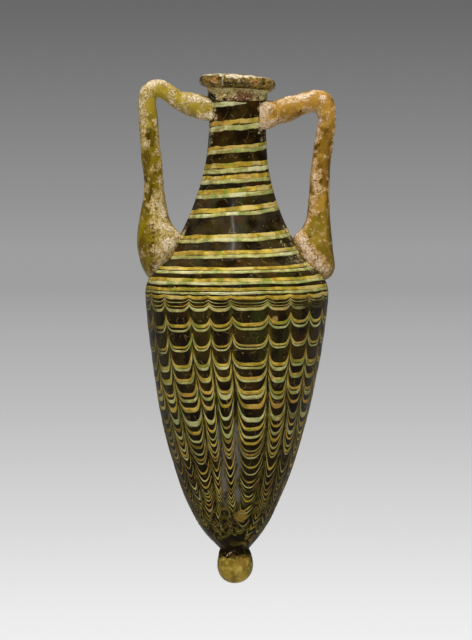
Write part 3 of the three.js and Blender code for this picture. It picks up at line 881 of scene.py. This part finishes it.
# mouth: a pale collar and a brown lip, each a closed profile turned about the axis and sheared to the tilt
mouth = {
    "around": 300, "steps": 200,
    "tilt": 3.3, "droop": 0.65, "collarHeight": 3.6, "flare": 1.1,
    "collarRough": 0.14, "lipRough": 0.08, "wideLump": 0.16, "riseLump": 0.12,
    "collar": (
        (4.8, -1), (8.6, -0.9), (9.2, -0.4), (9.25, 0.4), (9.1, 1.3),
        (9.25, 2.2), (9.8, 3.4), (8.5, 4), (4.8, 4),
    ),
    "lip": (
        (4.8, 3.2), (9.4, 3.1), (10.6, 3.45), (11.5, 4.25), (11.8, 5.3), (11.7, 6.3), (11.2, 7), (10.4, 7.3),
        (9.4, 7.25), (8.3, 7.1), (7.2, 6.6), (6, 5.5), (5.1, 4.4),
    ),
}


def turnedRing(name, profile, seed, rough, flare=0):
    corners = np.array([*profile, profile[0]])
    along = lengthAlong(corners)
    at = np.linspace(0, along[-1], mouth["steps"], endpoint=False)
    radius, rise = (0.7 * curveThrough(at, along, c) + 0.3 * np.interp(at, along, c) for c in corners.T)
    a = allRound(mouth["around"])
    radius, rise = radius[:, None], rise[:, None]
    seedPlace = noisePlace(radius, a, rise)
    shown = easeStep(radius, 5.4, 7.5)
    slow, fine = lumps(seedPlace, 6.0, seed), layeredLumps(seedPlace, 1.3, seed + 1)
    radius = radius + shown * (mouth["wideLump"] * slow + rough * fine)
    rise = rise + shown * (mouth["riseLump"] * lumps(seedPlace, 5.0, seed + 2) + 0.5 * rough * fine)
    radius = radius + flare * np.maximum(np.sin(a), 0) ** 2 * easeStep(rise, 1.0, 3.6) * shown
    x = radius * np.sin(a)
    sunk = x * math.tan(math.radians(mouth["tilt"])) + mouth["droop"] * (x / 10) ** 2
    height = vessel["neckEnd"][1] + rise - sunk * np.clip(rise / mouth["collarHeight"], 0, 1)
    return skin(name, turned(radius, a, height), ring=True)


collarFinish = {
    "stretch": (0.6, 0.6, 1.6),
    "low": "#86703a",
    "high": ("#ccbb84", 1, 0.6, 0.4, 0.6, 4),
    "tan": ("#a3824a", 1, 2.5, 0.48, 0.62),
    "upper": ("#b9a870", 1, 1.6, 0.4, 0.56, 4), "upperFrom": (153.3, 154.6),
    # painted shade: the dark tone along the collar's lower edge, where it meets the neck
    "dark": ("#46290f", 0.85, 1.8, 0.42, 0.56, 4), "paintedShadeBelow": (153.8, 151.8),
    "patches": (
        ("#5a2a16", 0.8, 0.9, (1, -9.3, 152.5, 2.4), (3.6, -8.8, 152.4, 2)),
        ("#c4bd80", 1, 0.5, (8.2, -5, 153.2, 2.2)),
        ("#17120a", 1, 0.5, (-7.6, -5.4, 152, 2), (-8.8, -3, 152.4, 2.4), (-4, -8.6, 151.6, 1)),
    ),
    "fleck": ("#ddd2ac", 0.7, 0.6, 0.58, 0.66),
    "pit": "#46290f", "pits": (0.8, 0.56, 0.66, 4),
    "glaze": (0.08, 0.3), "roughness": 0.55, "relief": (0.14, 0.9),
}


def collarGlass():
    material, tree, shader = newFinish("collarGlass")
    f = collarFinish
    place = objectPlace(tree)
    flat = objectPlace(tree, f["stretch"])
    colour = layer(tree, flat, f["low"], *f["high"])
    colour = layer(tree, flat, colour, *f["tan"])
    colour = layer(tree, flat, colour, *f["upper"], within=byHeight(tree, place, *f["upperFrom"]))
    # painted shade along the collar's lower edge
    colour = layer(tree, flat, colour, *f["dark"], within=byHeight(tree, place, *f["paintedShadeBelow"]))
    colour = spotted(tree, place, colour, f["patches"])
    colour = layer(tree, place, colour, *f["fleck"])
    pit = grain(tree, place, *f["pits"])
    glaze(tree, shader, *f["glaze"], {
        "Base Color": laid(tree, colour, f["pit"], pit, 0.8),
        "Roughness": f["roughness"],
        "Normal": relief(tree, maths(tree, "SUBTRACT", rawGrain(tree, place, 0.6, 4), pit), *f["relief"]),
    })
    return material


lipFinish = {
    "stretch": (0.5, 0.5, 1.7),
    "low": "#3c2f0b",
    "high": ("#74602a", 1, 1.8, 0.38, 0.62, 4),
    "gold": ("#97762c", 1, 1.2, 0.56, 0.66, 4),
    "patches": (
        (
            "#94752e", 0.75, 0.9, (10, -5.6, 156.6, 3), (-5.8, -10.2, 156.4, 1.6), (2, 11.4, 157.4, 3),
            (-9.2, -6.6, 157, 1.6),
        ),
        (
            "#201b06", 0.75, 0.9, (-2.6, -11.4, 157.6, 2.6), (0.4, -11.8, 157, 2.2), (3, -11.2, 156.4, 2),
            (-11.3, -2.6, 158, 2.4), (8.2, -8.6, 157.4, 1.2), (11.6, -1, 155.8, 1.4),
        ),
        ("#7d6230", 0.75, 0.9, (3.4, -11.2, 158.4, 1.8), (7.2, -9.4, 158.4, 1.4), (9.8, -6.6, 158, 1.6)),
        ("#b47a46", 0.75, 0.9, (-7, -9.4, 158, 1.7), (5.9, -10.2, 157.5, 1.5), (-9, 7, 157.5, 2.4)),
    ),
    "patchGrain": (1.1, 0.36, 0.56, 4),
    "fleck": ("#d9c9a4", 0.5, 0.7, 0.6, 0.68),
    "pit": ("#1c1405", 0.7, 0.9, 0.58, 0.66),
    "lineAt": (-4.4, -10.9, 157.8), "lineShape": (1, 0.2, 0.13), "lineHalf": (1, 0.8),
    "lineRagged": 1.4, "lineCover": 0.4,
    "scratch": ("#97762c", 0.4, 3, 0.14),
    "crustLow": "#a8946c",
    "crustHigh": ("#e0d3b8", 1, 0.9, 0.4, 0.6, 4),
    "crustGrain": (2, 0.36, 0.6, 5), "crustCover": 0.9, "crustFacing": (0.8, 0.97),
    "whitePatches": (
        (-4.6, -10.2, 160.1, 1.3), (-2.2, -10.6, 160, 1.9), (0.4, -10.7, 159.9, 2.1), (3, -10.3, 159.7, 1.7),
        (5.4, -9.6, 159.3, 1.2),
    ),
    "glaze": (0.2, 0.15), "relief": (0.1, 0.7),
    "sockets": {"Subsurface Weight": 0.15, "Subsurface Radius": (1, 0.6, 0.2), "Subsurface Scale": 0.0012},
}


def lipGlass():
    material, tree, shader = newFinish("lipGlass")
    f = lipFinish
    place = objectPlace(tree)
    flat = objectPlace(tree, f["stretch"])
    colour = layer(tree, flat, f["low"], *f["high"])
    colour = layer(tree, flat, colour, *f["gold"])
    colour = spotted(tree, place, colour, f["patches"], within=grain(tree, flat, *f["patchGrain"]))
    colour = layer(tree, place, colour, *f["fleck"])
    colour = layer(tree, place, colour, *f["pit"])
    line = vectorMaths(tree, "SUBTRACT", place, metres(f["lineAt"]))
    line = vectorMaths(tree, "MULTIPLY", line, f["lineShape"])
    line = vectorMaths(tree, "LENGTH", line, output="Value")
    line = uneven(tree, place, line, 0.9, 4, f["lineRagged"] / 1000)
    line = remap(tree, line, *metres(f["lineHalf"]), 0, f["lineCover"])
    colour = laid(tree, colour, f["crustHigh"][0], line)
    facing = zOf(tree, addNode(tree, "NewGeometry", {}).outputs["Normal"])
    onTop = times(tree, remap(tree, facing, *f["crustFacing"]), grain(tree, place, *f["crustGrain"]))
    onTop = orPatches(tree, place, onTop, 1, 0.45, f["whitePatches"])
    colour = scratched(tree, place, colour, *f["scratch"])
    chalk = layer(tree, place, f["crustLow"], *f["crustHigh"])
    glaze(tree, shader, *f["glaze"], {
        "Base Color": laid(tree, colour, chalk, onTop, f["crustCover"]),
        "Roughness": remap(tree, onTop, 0, 1, 0.3, 0.8),
        "Normal": relief(tree, uneven(tree, place, onTop, 0.7, 4), *f["relief"]),
        **f["sockets"],
    })
    return material


# base knob: a drop, a circle that is drawn in to a small flat below and runs up into the stub
def baseKnob():
    turn = np.radians(np.linspace(0.5, 90, knob["ballRows"]))[:, None]
    a = allRound(knob["around"])
    upper = np.linspace(knob["radius"], vessel["waist"][1], knob["upperRows"])[1:, None]
    radius = np.vstack([knob["radius"] * np.sin(turn) ** 0.94, knobRadius(upper), [[3.0]]])
    height = np.vstack([knob["radius"] * (1 - np.cos(turn)), upper, upper[-1:] + 0.4]) + 0 * a
    radius = radius + easeStep(height, 0.2, 2.0) * knobLumps(radius, a, height)
    return skin("baseKnob", turned(radius, a, height))


def knobGlass():
    material, tree, shader = newFinish("knobGlass")
    place = objectPlace(tree)
    colour = layer(tree, place, knob["low"], *knob["high"])
    colour = layer(tree, place, colour, *knob["tan"])
    colour = spotted(tree, place, colour, [knob["warm"]])
    colour = layer(tree, place, colour, *knob["fleck"])
    pit = grain(tree, place, *knob["pits"])
    colour = laid(tree, colour, knob["pit"], pit)
    level = zOf(tree, place)
    level = uneven(tree, place, level, 1.2, 4, knob["stainRagged"] / 1000)
    stained = remap(tree, level, *metres(knob["stainFrom"]), 0, knob["stainCover"])
    stained = orPatches(tree, place, stained, *knob["sideStains"])
    glaze(tree, shader, *knob["glaze"], {
        "Base Color": laid(tree, colour, knob["stain"], stained),
        "Normal": relief(tree, maths(tree, "SUBTRACT", rawGrain(tree, place, 0.7, 4), pit), *knob["relief"]),
        **knob["sockets"],
    })
    return material


# a handle's stations from the neck to the pad's tip: distance from the axis, height, half thickness, half
# depth; spots of crust and windows of clear glass between them: middle (x, y, z), reach and strength
leftHandle = {
    "side": -1,
    "stations": (
        (4.5, 147.9, 3.2, 3.8), (8.8, 148.4, 3.55, 4.1), (11.5, 149.3, 3.75, 3.9), (14.6, 150.3, 3.55, 3.6),
        (18.2, 151.5, 2.9, 3.2), (21.4, 153.8, 2.65, 3), (24.4, 155.1, 2.75, 3), (27.2, 153.9, 2.75, 3),
        (28, 150.2, 2.75, 2.9), (27.65, 146.3, 2.95, 2.9), (27.4, 142.4, 3.05, 2.95), (26.7, 134, 3.1, 3),
        (26, 127, 3.05, 3.1), (25.8, 121.8, 3.3, 3.4), (25.75, 117.1, 4.15, 4.1), (25.6, 114, 4.85, 5),
        (25.05, 111.5, 5.8, 5.7), (24.1, 109.2, 7, 6.3), (24, 106, 7.15, 6.7), (24.3, 103, 6.4, 6.5),
        (24.95, 99.9, 4.95, 5.7), (25.45, 97.8, 3.45, 4.4), (26, 96.4, 2, 2.8), (26.4, 95.5, 0.8, 1.2),
    ),
    "crust": (
        (-9, -4.2, 151.6, 2.6, 1), (-8.6, -4.8, 146.4, 3, 1.1), (-12.6, -3, 152.4, 2.6, 1),
        (-15.4, -3.4, 151.6, 2.4, 0.8), (-15.6, -2.6, 153.4, 2.2, 0.9), (-11.6, -3.4, 145.8, 2.4, 1),
        (-15.4, -2.6, 147.4, 2, 0.9), (-18.6, -2.4, 148.4, 2.2, 0.9), (-20, -2.5, 153.6, 2.2, 0.8),
        (-20.6, -2.6, 151, 2.2, 0.9), (-23, -1.6, 157.2, 3, 1), (-26.4, -1.2, 157.2, 3.2, 1.1),
        (-29.4, -1.2, 154.6, 3, 1), (-28, -2.4, 153, 2, 0.7), (-29.8, -1.8, 150.6, 2, 0.9),
        (-29.6, -2, 147.6, 2.2, 0.95), (-29.4, -2, 144.6, 2, 0.95), (-29.2, -2, 141.6, 1.8, 0.9),
        (-25.2, -2.2, 145, 1.6, 0.8), (-24.6, -2, 142, 1.7, 1), (-24.2, -2, 139.4, 1.8, 1.1),
        (-28.4, -2.4, 138.2, 1.8, 0.8), (-24, -2.2, 135.4, 1.8, 0.8), (-23.6, -2, 131, 2, 0.8),
        (-23.4, -2.2, 126.4, 2.2, 0.85), (-23.6, -2.8, 121.6, 2.8, 0.9), (-25.6, -3, 118.6, 3, 0.7),
        (-22.6, -3.6, 116.4, 3.2, 0.95), (-24, -5.4, 112.6, 3.6, 0.7), (-21, -4.6, 112.4, 3, 1),
        (-18, -3.6, 110.4, 3.4, 1.3), (-20.4, -6, 107, 4, 0.85), (-24, -6.6, 105, 3.6, 0.75),
        (-22.6, -6.8, 102, 3.4, 0.8), (-24.6, -6.2, 98.6, 3.2, 0.85), (-26.6, -4, 96.4, 2.4, 1),
    ),
    "windows": (
        (-17.8, -3, 151.8, 3, 1), (-13.3, -3.8, 148.8, 3, 1), (-9.8, -4.2, 149.4, 1.7, 0.9),
        (-23.2, -2.8, 154.6, 3, 1), (-26.2, -3, 142, 2.6, 1), (-26.4, -3, 133, 3, 0.8),
    ),
    "backCrust": 0.5,
}
rightHandle = {
    "side": 1,
    "stations": (
        (4.5, 146.7, 4.5, 5.2), (8.9, 146.9, 4.6, 5.1), (12.6, 147.5, 3.8, 4.4), (16, 148.7, 3.9, 3.7),
        (19.7, 150, 3.4, 3.3), (23.2, 151, 3.35, 3.15), (26.7, 150.5, 3.75, 3.1), (28.3, 146.2, 2.8, 3),
        (27.7, 140.5, 2.9, 2.95), (26.6, 133, 3, 3), (26.1, 128, 3.1, 3.05), (25.8, 121.8, 3.15, 3.2),
        (25.7, 117, 3.5, 3.5), (25.5, 113.6, 4, 4.1), (25.05, 111.5, 4.6, 4.7), (24, 109.2, 5.85, 5.4),
        (23.6, 107, 6.5, 6), (24.1, 104.4, 6.1, 6.4), (24.7, 101.5, 5.9, 6.3), (25.5, 98.9, 5.2, 5.7),
        (26.2, 97.4, 4, 4.7), (26.9, 96.2, 2.5, 3.2), (27.4, 95.4, 1, 1.4),
    ),
    "crust": (
        (9.6, -5, 149.8, 3, 1.3), (7.6, -5.8, 148.6, 2.4, 1), (8.2, -6, 145.6, 3, 1.1),
        (9, -5.4, 142.6, 2.8, 1.1), (11.8, -4.4, 144, 2.6, 0.9), (14.6, -3.2, 144.6, 1.8, 0.9),
        (13.6, -2.6, 151.6, 2, 1), (16.4, -2, 152.6, 2, 1), (19.4, -2.2, 153, 2.2, 0.9),
        (22, -2.4, 152.6, 2, 0.8), (21, -3, 148.8, 1.6, 0.7), (25, -2.4, 147.2, 2.2, 1.1),
        (25.6, -2, 145, 2, 1.1), (23.2, -2.4, 148, 1.6, 0.9), (24, -2.2, 154, 1.8, 0.9),
        (27.2, -2.6, 152.4, 1.8, 0.9), (31, -0.8, 148.4, 1.5, 1), (30.9, -0.8, 146.4, 1.5, 1.1),
        (30.8, -0.8, 144.2, 1.5, 1.1), (30.4, -0.8, 141.8, 1.5, 1.1), (30.1, -0.8, 139.4, 1.5, 1.1),
        (29.8, -0.8, 137, 1.5, 1), (25.2, -1.8, 141.8, 1.5, 1), (24.7, -1.9, 139, 1.7, 1),
        (24, -2, 136, 1.6, 0.8), (23.9, -2.4, 132, 1.8, 0.7), (24.4, -2.6, 128, 2.6, 0.8),
        (25, -2.8, 124, 2.4, 0.75), (23.8, -2.6, 120.6, 2.4, 0.8), (24, -3, 117, 2.2, 0.7),
        (21.8, -2.8, 113.4, 2.2, 1), (19, -3.4, 110.4, 3.2, 1.3), (20.4, -5, 107, 2.8, 0.95),
        (22.6, -6.2, 103, 3.2, 0.9), (25.4, -6, 100.4, 3.2, 0.9), (27.6, -4.6, 98.4, 2.6, 0.85),
        (21.6, -6.2, 104.8, 2.2, 0.7),
    ),
    "windows": (
        (14.6, -3.6, 148.4, 3.6, 1), (18.6, -3.2, 149.6, 3.4, 1), (24.4, -3, 151, 3, 0.8),
        (28.4, -2.6, 142, 3, 0.9), (28, -2.8, 134, 3, 0.9), (27.6, -2.8, 116, 4, 0.9),
    ),
    "backCrust": 0.45,
}
handleMesh = {
    "around": 112, "steps": 500, "crustHeight": 0.16, "crustSpread": 1.4, "lump": 0.12,
    "rootSquare": 0.5, "rootReach": (13.5, 10), "padHeights": (114, 121), "rimCrust": 0.55,
}


# how thick the crust is: spots outside the windows, rims of the rod above the pad, patches at the back
def handleCrust(handle, grid, inPlane, seed):
    m = handleMesh
    x, y, z = np.moveaxis(grid, -1, 0)
    mirrored = grid * np.array([handle["side"], 1, 1])
    spots = np.array(handle["crust"]) * np.array([1, 1, 1, m["crustSpread"], 1])
    crust = crustAt(mirrored, spots) * (1 - crustAt(mirrored, handle["windows"]))
    rim = easeStep(np.abs(inPlane), 0.72, 0.98) * easeStep(layeredLumps((x, y, z), 5.0, seed + 6), -0.3, 0.3)
    crust = np.maximum(crust, m["rimCrust"] * rim * easeStep(z, *m["padHeights"]))
    backNoise = easeStep(layeredLumps((x, y, z), 7.0, seed + 3) * 0.6 + handle["backCrust"], 0.45, 0.75)
    crust = np.maximum(crust, easeStep(y, -0.5, 1.5) * backNoise)
    return crust + 0.45 * layeredLumps((x, y, z), 2.2, seed + 4)


# a rod swept along its stations: an oval across the path, lumpy glass with crust standing on it
def appliedHandle(name, handle, seed):
    m = handleMesh
    stations = np.array(handle["stations"])
    chord = lengthAlong(stations[:, :2])
    at = np.linspace(0, chord[-1], m["steps"])
    reach, height, half, depth = curveThrough(at, chord, stations).T[..., None]
    along = np.stack([np.gradient(reach[:, 0], at), np.gradient(height[:, 0], at)])[..., None]
    along[0] *= easeStep(height, *m["padHeights"])
    alongOut, alongUp = along / np.linalg.norm(along, axis=0)
    a = allRound(m["around"])
    rounded = 1 - m["rootSquare"] * easeStep(reach, *m["rootReach"])
    inPlane, across = (np.sign(v) * np.abs(v) ** rounded for v in (np.cos(a), np.sin(a)))
    outwards = np.stack([inPlane * alongUp * depth, across * half, -inPlane * alongOut * depth], -1)
    outwards /= np.linalg.norm(outwards, axis=-1, keepdims=True)
    x, y, z = reach + inPlane * half * alongUp, across * depth, height - inPlane * half * alongOut
    grid = np.stack([x, y, z], -1)
    lump = m["lump"] * (lumps((x, y, z), 6.0, seed) + 0.4 * lumps((x, y, 0.3 * z), 1.6, seed + 1))
    crust = handleCrust(handle, grid, inPlane, seed)
    grains = layeredLumps((x, y, z), 0.9, seed + 5)
    crusted = easeStep(crust + 0.3 * grains, 0.35, 0.75)
    lift = easeStep(at, 0, 2.5)[:, None] * (lump + crusted * m["crustHeight"] * (0.5 + grains))
    grid = (grid + outwards * lift[..., None]) * np.array([handle["side"], 1, 1])
    lean = curveThrough(grid[..., 2], vessel["leanHeights"], vessel["leanSideways"])
    grid[..., 0] += lean * easeStep(14 - x, 0, 5)
    marks = {"crust": np.clip(crust, 0, 1), "outer": -inPlane, "grain": 0.5 + grains}
    return skin(name, grid, marks)


handleFinish = {
    "olive": {
        "deep": "#443605", "body": "#78640f", "bright": "#a08d20", "arm": "#b19a34", "pad": "#776610",
        "stain": "#4a3106", "stainFrom": 0.2,
        "veilLow": "#8f7a3c", "veilHigh": "#c6ae78", "speck": "#5f431c",
        "crustLow": "#b79f74", "crustHigh": "#e9dabd",
        "mottled": (
            "#4c2a12", 0.85, 0.9,
            (-26.6, -5.4, 112.4, 1.5), (-26.4, -6, 109.6, 1.7), (-26.6, -6.2, 106.6, 1.7),
            (-26.2, -6.2, 103.4, 1.7), (-26, -5.6, 100.2, 1.6), (-26.6, -4.4, 97.6, 1.4),
            (-22.6, -6, 99.6, 1.5),
        ),
    },
    "amber": {
        "deep": "#553c09", "body": "#826018", "bright": "#a9832e", "arm": "#bb8d3a", "pad": "#7d6c1c",
        "stain": "#432a08", "stainFrom": 0.35,
        "veilLow": "#9a7742", "veilHigh": "#ccab7a", "speck": "#6c4822",
        "crustLow": "#ba9a70", "crustHigh": "#e8d5b9",
        "mottled": (
            "#4f2c12", 0.85, 0.9,
            (19.6, -2.8, 147.6, 1.2), (22.6, -5.4, 108.6, 1.4), (22.4, -6.2, 105.4, 1.5),
            (24.4, -6.2, 102.4, 1.5),
        ),
    },
    "bodyPatches": (1, 2.4, 0.36, 0.62),
    "brightPatches": (1, 5, 0.46, 0.64),
    "armHeights": (141, 152), "armCover": 0.65,
    "padHeights": (122, 112), "padCover": 0.7,
    "stainPatches": (0.8, 3, 0.4, 0.6),
    "flecks": (0.6, 0.55, 0.66, 0.74, 2),
    "veil": (0.98, 1.36), "veilRagged": (1.5, 5, 1.8), "veilCover": 0.88,
    "veilPatches": (1, 0.6, 0.4, 0.6, 4),
    "specks": (0.7, 0.8, 0.55, 0.65), "speckFrom": (0.1, 0.5),
    "mottleGrain": (0.8, 0.4, 0.56, 4),
    "crust": (1.25, 1.55), "crustRagged": (0.9, 5, 1.3),
    "chalkPatches": (1, 0.7, 0.4, 0.6, 4), "chalkSpecks": (1, 0.9, 0.58, 0.66),
    "lateSpecks": (0.6, 0.7, 0.58, 0.66), "lateSpeckFrom": (0.25, 0.6),
    "glaze": (0.15, 0.18), "relief": (0.16, 0.85),
    "sockets": {"Subsurface Radius": (1, 0.65, 0.15), "Subsurface Scale": 0.002},
}


# translucent rod glass with streaks along the rod, stained on its outer side,
# under a thin tan veil with chalky crust
def rodGlass(name, tones):
    material, tree, shader = newFinish(name)
    f = handleFinish
    place = objectPlace(tree)
    downwards = objectPlace(tree, (1, 1, 0.25))
    colour = layer(tree, downwards, tones["deep"], tones["body"], *f["bodyPatches"])
    colour = layer(tree, place, colour, tones["bright"], *f["brightPatches"])
    colour = laid(tree, colour, tones["arm"], byHeight(tree, place, *f["armHeights"]), f["armCover"])
    colour = laid(tree, colour, tones["pad"], byHeight(tree, place, *f["padHeights"]), f["padCover"])
    outer = remap(tree, mark(tree, "outer"), tones["stainFrom"], 1.0)
    colour = layer(tree, downwards, colour, tones["stain"], *f["stainPatches"], within=outer)
    colour = layer(tree, place, colour, tones["veilHigh"], *f["flecks"])
    crusted = mark(tree, "crust")
    veil = remap(tree, uneven(tree, place, crusted, *f["veilRagged"]), *f["veil"], 0, f["veilCover"])
    veilTone = layer(tree, place, tones["veilLow"], tones["veilHigh"], *f["veilPatches"])
    colour = laid(tree, colour, veilTone, veil)
    within = remap(tree, crusted, *f["speckFrom"])
    colour = layer(tree, place, colour, tones["speck"], *f["specks"], within=within)
    colour = spotted(tree, place, colour, [tones["mottled"]], within=grain(tree, place, *f["mottleGrain"]))
    crust = remap(tree, uneven(tree, place, crusted, *f["crustRagged"]), *f["crust"])
    chalk = layer(tree, place, tones["crustLow"], tones["crustHigh"], *f["chalkPatches"])
    chalk = layer(tree, place, chalk, tones["veilLow"], *f["chalkSpecks"])
    chalk = mixed(tree, remap(tree, mark(tree, "grain"), 0.0, 0.7, 0.75, 1.0), tones["speck"], chalk)
    colour = laid(tree, colour, chalk, crust)
    within = remap(tree, crusted, *f["lateSpeckFrom"])
    colour = layer(tree, place, colour, tones["speck"], *f["lateSpecks"], within=within)
    dull = maths(tree, "MAXIMUM", crust, times(tree, veil, 0.8))
    height = uneven(tree, place, times(tree, dull, rawGrain(tree, place, 0.6, 4)), 1.4, 3, 0.35)
    glaze(tree, shader, *f["glaze"], {
        "Base Color": colour,
        "Roughness": remap(tree, dull, 0, 1, 0.3, 0.8),
        "Subsurface Weight": remap(tree, dull, 0, 1, 0.4, 0.0),
        "Normal": relief(tree, height, *f["relief"]),
        **f["sockets"],
    })
    return material


seat(vesselWall(), "vessel_wall", darkGlass())
yellowGlass = threadGlass("yellowGlass", threadFinish["yellow"])
paleGlass = threadGlass("paleGlass", threadFinish["pale"])
yellowThread = woundThread("yellowThread", yellowRows, winding["yellowStart"], 11)
seat(yellowThread, "yellow_thread", yellowGlass)
paleThread = woundThread("paleThread", paleRows, winding["paleStart"], 12)
seat(paleThread, "pale_thread", paleGlass)
collar = turnedRing("mouthCollar", mouth["collar"], 81, mouth["collarRough"], mouth["flare"])
seat(collar, "mouth_collar", collarGlass())
lip = turnedRing("lipRing", mouth["lip"], 91, mouth["lipRough"])
seat(lip, "lip_ring", lipGlass())
seat(baseKnob(), "base_knob", knobGlass())
oliveGlass = rodGlass("oliveGlass", handleFinish["olive"])
amberGlass = rodGlass("amberGlass", handleFinish["amber"])
seat(appliedHandle("leftHandle", leftHandle, 101), "left_handle", oliveGlass)
seat(appliedHandle("rightHandle", rightHandle, 111), "right_handle", amberGlass)


# stage: a round paper floor that sweeps up to a low wall, far below and behind the vessel, which its
# stand holds; its greys run from the middle of the floor to the top of the wall
stage = {
    "floorHeight": -45, "flatRadius": 2900, "bendRadius": 600, "wallHeight": 900, "paperThickness": 10,
    "around": 128, "flatRows": 30, "bendRows": 24,
    "greys": (
        (0, "#e8e8e8"), (0.084, "#eaeaea"), (0.234, "#e7e7e7"), (0.431, "#dbdbdb"), (0.587, "#d2d2d2"),
        (0.7306, "#c7c7c7"), (0.771, "#aeaeae"), (0.818, "#838383"), (1, "#727272"),
    ),
    "litShare": 0.6,
    "worldGrey": "#6f6f6f",
    "ambient": 0.36,
}


def paperSweep():
    s = stage
    flatEnd, curl, thick = s["flatRadius"], s["bendRadius"], s["paperThickness"]
    out = np.linspace(0, flatEnd, s["flatRows"])[1:]
    flat = np.stack([out, 0 * out], -1)
    bend = np.linspace(0, math.pi / 2, s["bendRows"])[1:]
    curve = np.stack([flatEnd + curl * np.sin(bend), curl * (1 - np.cos(bend))], -1)
    rim = flatEnd + curl
    wall = np.array([[rim, s["wallHeight"]], [rim + thick, s["wallHeight"]], [rim + thick, -thick]])
    profile = np.vstack([flat, curve, wall])
    away = lengthAlong(profile)
    a = allRound(s["around"])
    radius, height = profile[:, :1], profile[:, 1:] + s["floorHeight"]
    grid = np.stack(noisePlace(radius, a, height + 0 * a), -1)
    return skin("paperSweep", grid, {"away": np.clip(away / away[-3], 0, 1)[:, None]})


def seenDirectly(tree):
    path = addNode(tree, "LightPath", {})
    seen = maths(tree, "MAXIMUM", path.outputs["Is Camera Ray"], path.outputs["Is Glossy Ray"])
    return maths(tree, "MAXIMUM", seen, path.outputs["Is Transmission Ray"])


def sweepPaper():
    material, tree, shader = newFinish("sweepPaper")
    ramp = addNode(tree, "ValToRGB", {"Fac": mark(tree, "away")})
    for place, _ in stage["greys"][1:-1]:
        ramp.color_ramp.elements.new(place)
    for element, (place, grey) in zip(ramp.color_ramp.elements, stage["greys"]):
        element.position, element.color = place, paint(grey)
    plug(tree, shader, {
        "Emission Color": ramp.outputs["Color"],
        "Emission Strength": times(tree, seenDirectly(tree), 1 - stage["litShare"]),
        "Base Color": vectorMaths(tree, "MULTIPLY", ramp.outputs["Color"], [stage["litShare"]] * 3),
        "Roughness": 1.0,
        "Specular IOR Level": 0.0,
    })
    return material


sweep = paperSweep()
sweep.data.materials.append(sweepPaper())
sweep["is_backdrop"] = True

world = bpy.data.worlds.new("room")
bpy.context.scene.world = world
world.use_nodes = True
room = world.node_tree
roomGrey = mixed(room, seenDirectly(room), (*[stage["ambient"]] * 3, 1), stage["worldGrey"])
plug(room, room.nodes["Background"], {"Color": roomGrey})

# lamps: name, azimuth, elevation, distance, width and height of the soft box, and its power
lamps = (
    ("highStrip", -8, 51, 1300, 90, 420, 11.0),
    ("topBox", 20, 84, 1100, 700, 700, 8.0),
    ("leftFill", -30, 10, 1700, 600, 1000, 2.6),
    ("rightFill", 32, 14, 1700, 600, 1000, 2.1),
)


def aroundAxis(azimuth, elevation, distance):
    a, e = math.radians(azimuth), math.radians(elevation)
    return Vector((math.sin(a) * math.cos(e), -math.cos(a) * math.cos(e), math.sin(e))) * distance / 1000


def turnTo(thing, target):
    thing.rotation_euler = (target - thing.location).to_track_quat("-Z", "Y").to_euler()


middle = Vector((0, 0, cadHigh[2] / 2))
for name, azimuth, elevation, distance, width, height, power in lamps:
    data = bpy.data.lights.new(name, "AREA")
    data.shape, data.size, data.size_y, data.energy = "RECTANGLE", width / 1000, height / 1000, power
    lamp = newObject(name, data)
    lamp.visible_camera = False
    lamp.visible_glossy = name == "highStrip"  # the others only light, so that the dark glass stays dark
    lamp.location = middle + aroundAxis(azimuth, elevation, distance)
    turnTo(lamp, middle)
print("stage and lamps set:", len(lamps))

# camera: the photograph's view, long lens a little above the vessel
view = {
    "lens": 400, "sensor": 36, "pictureHeight": 200.4, "downwards": 3, "aim": (-0.16, 0, 82.65),
    "clipEnd": 100,  # metres
}
aim = Vector(view["aim"]) / 1000
cameraData = bpy.data.cameras.new("camera")
cameraData.lens, cameraData.sensor_width, cameraData.clip_end = view["lens"], view["sensor"], view["clipEnd"]
camera = newObject("camera", cameraData)
cameraAway = view["pictureHeight"] * view["lens"] / view["sensor"]
camera.location = aim + aroundAxis(0, view["downwards"], cameraAway)
turnTo(camera, aim)
bpy.context.scene.camera = camera
bpy.context.scene.view_settings.view_transform = "Standard"

dressedLow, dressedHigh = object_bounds()
cadSize, dressedSize = cadHigh - cadLow, dressedHigh - dressedLow
print("size CAD", [round(v * 1000, 1) for v in cadSize], "dressed", [round(v * 1000, 1) for v in dressedSize])
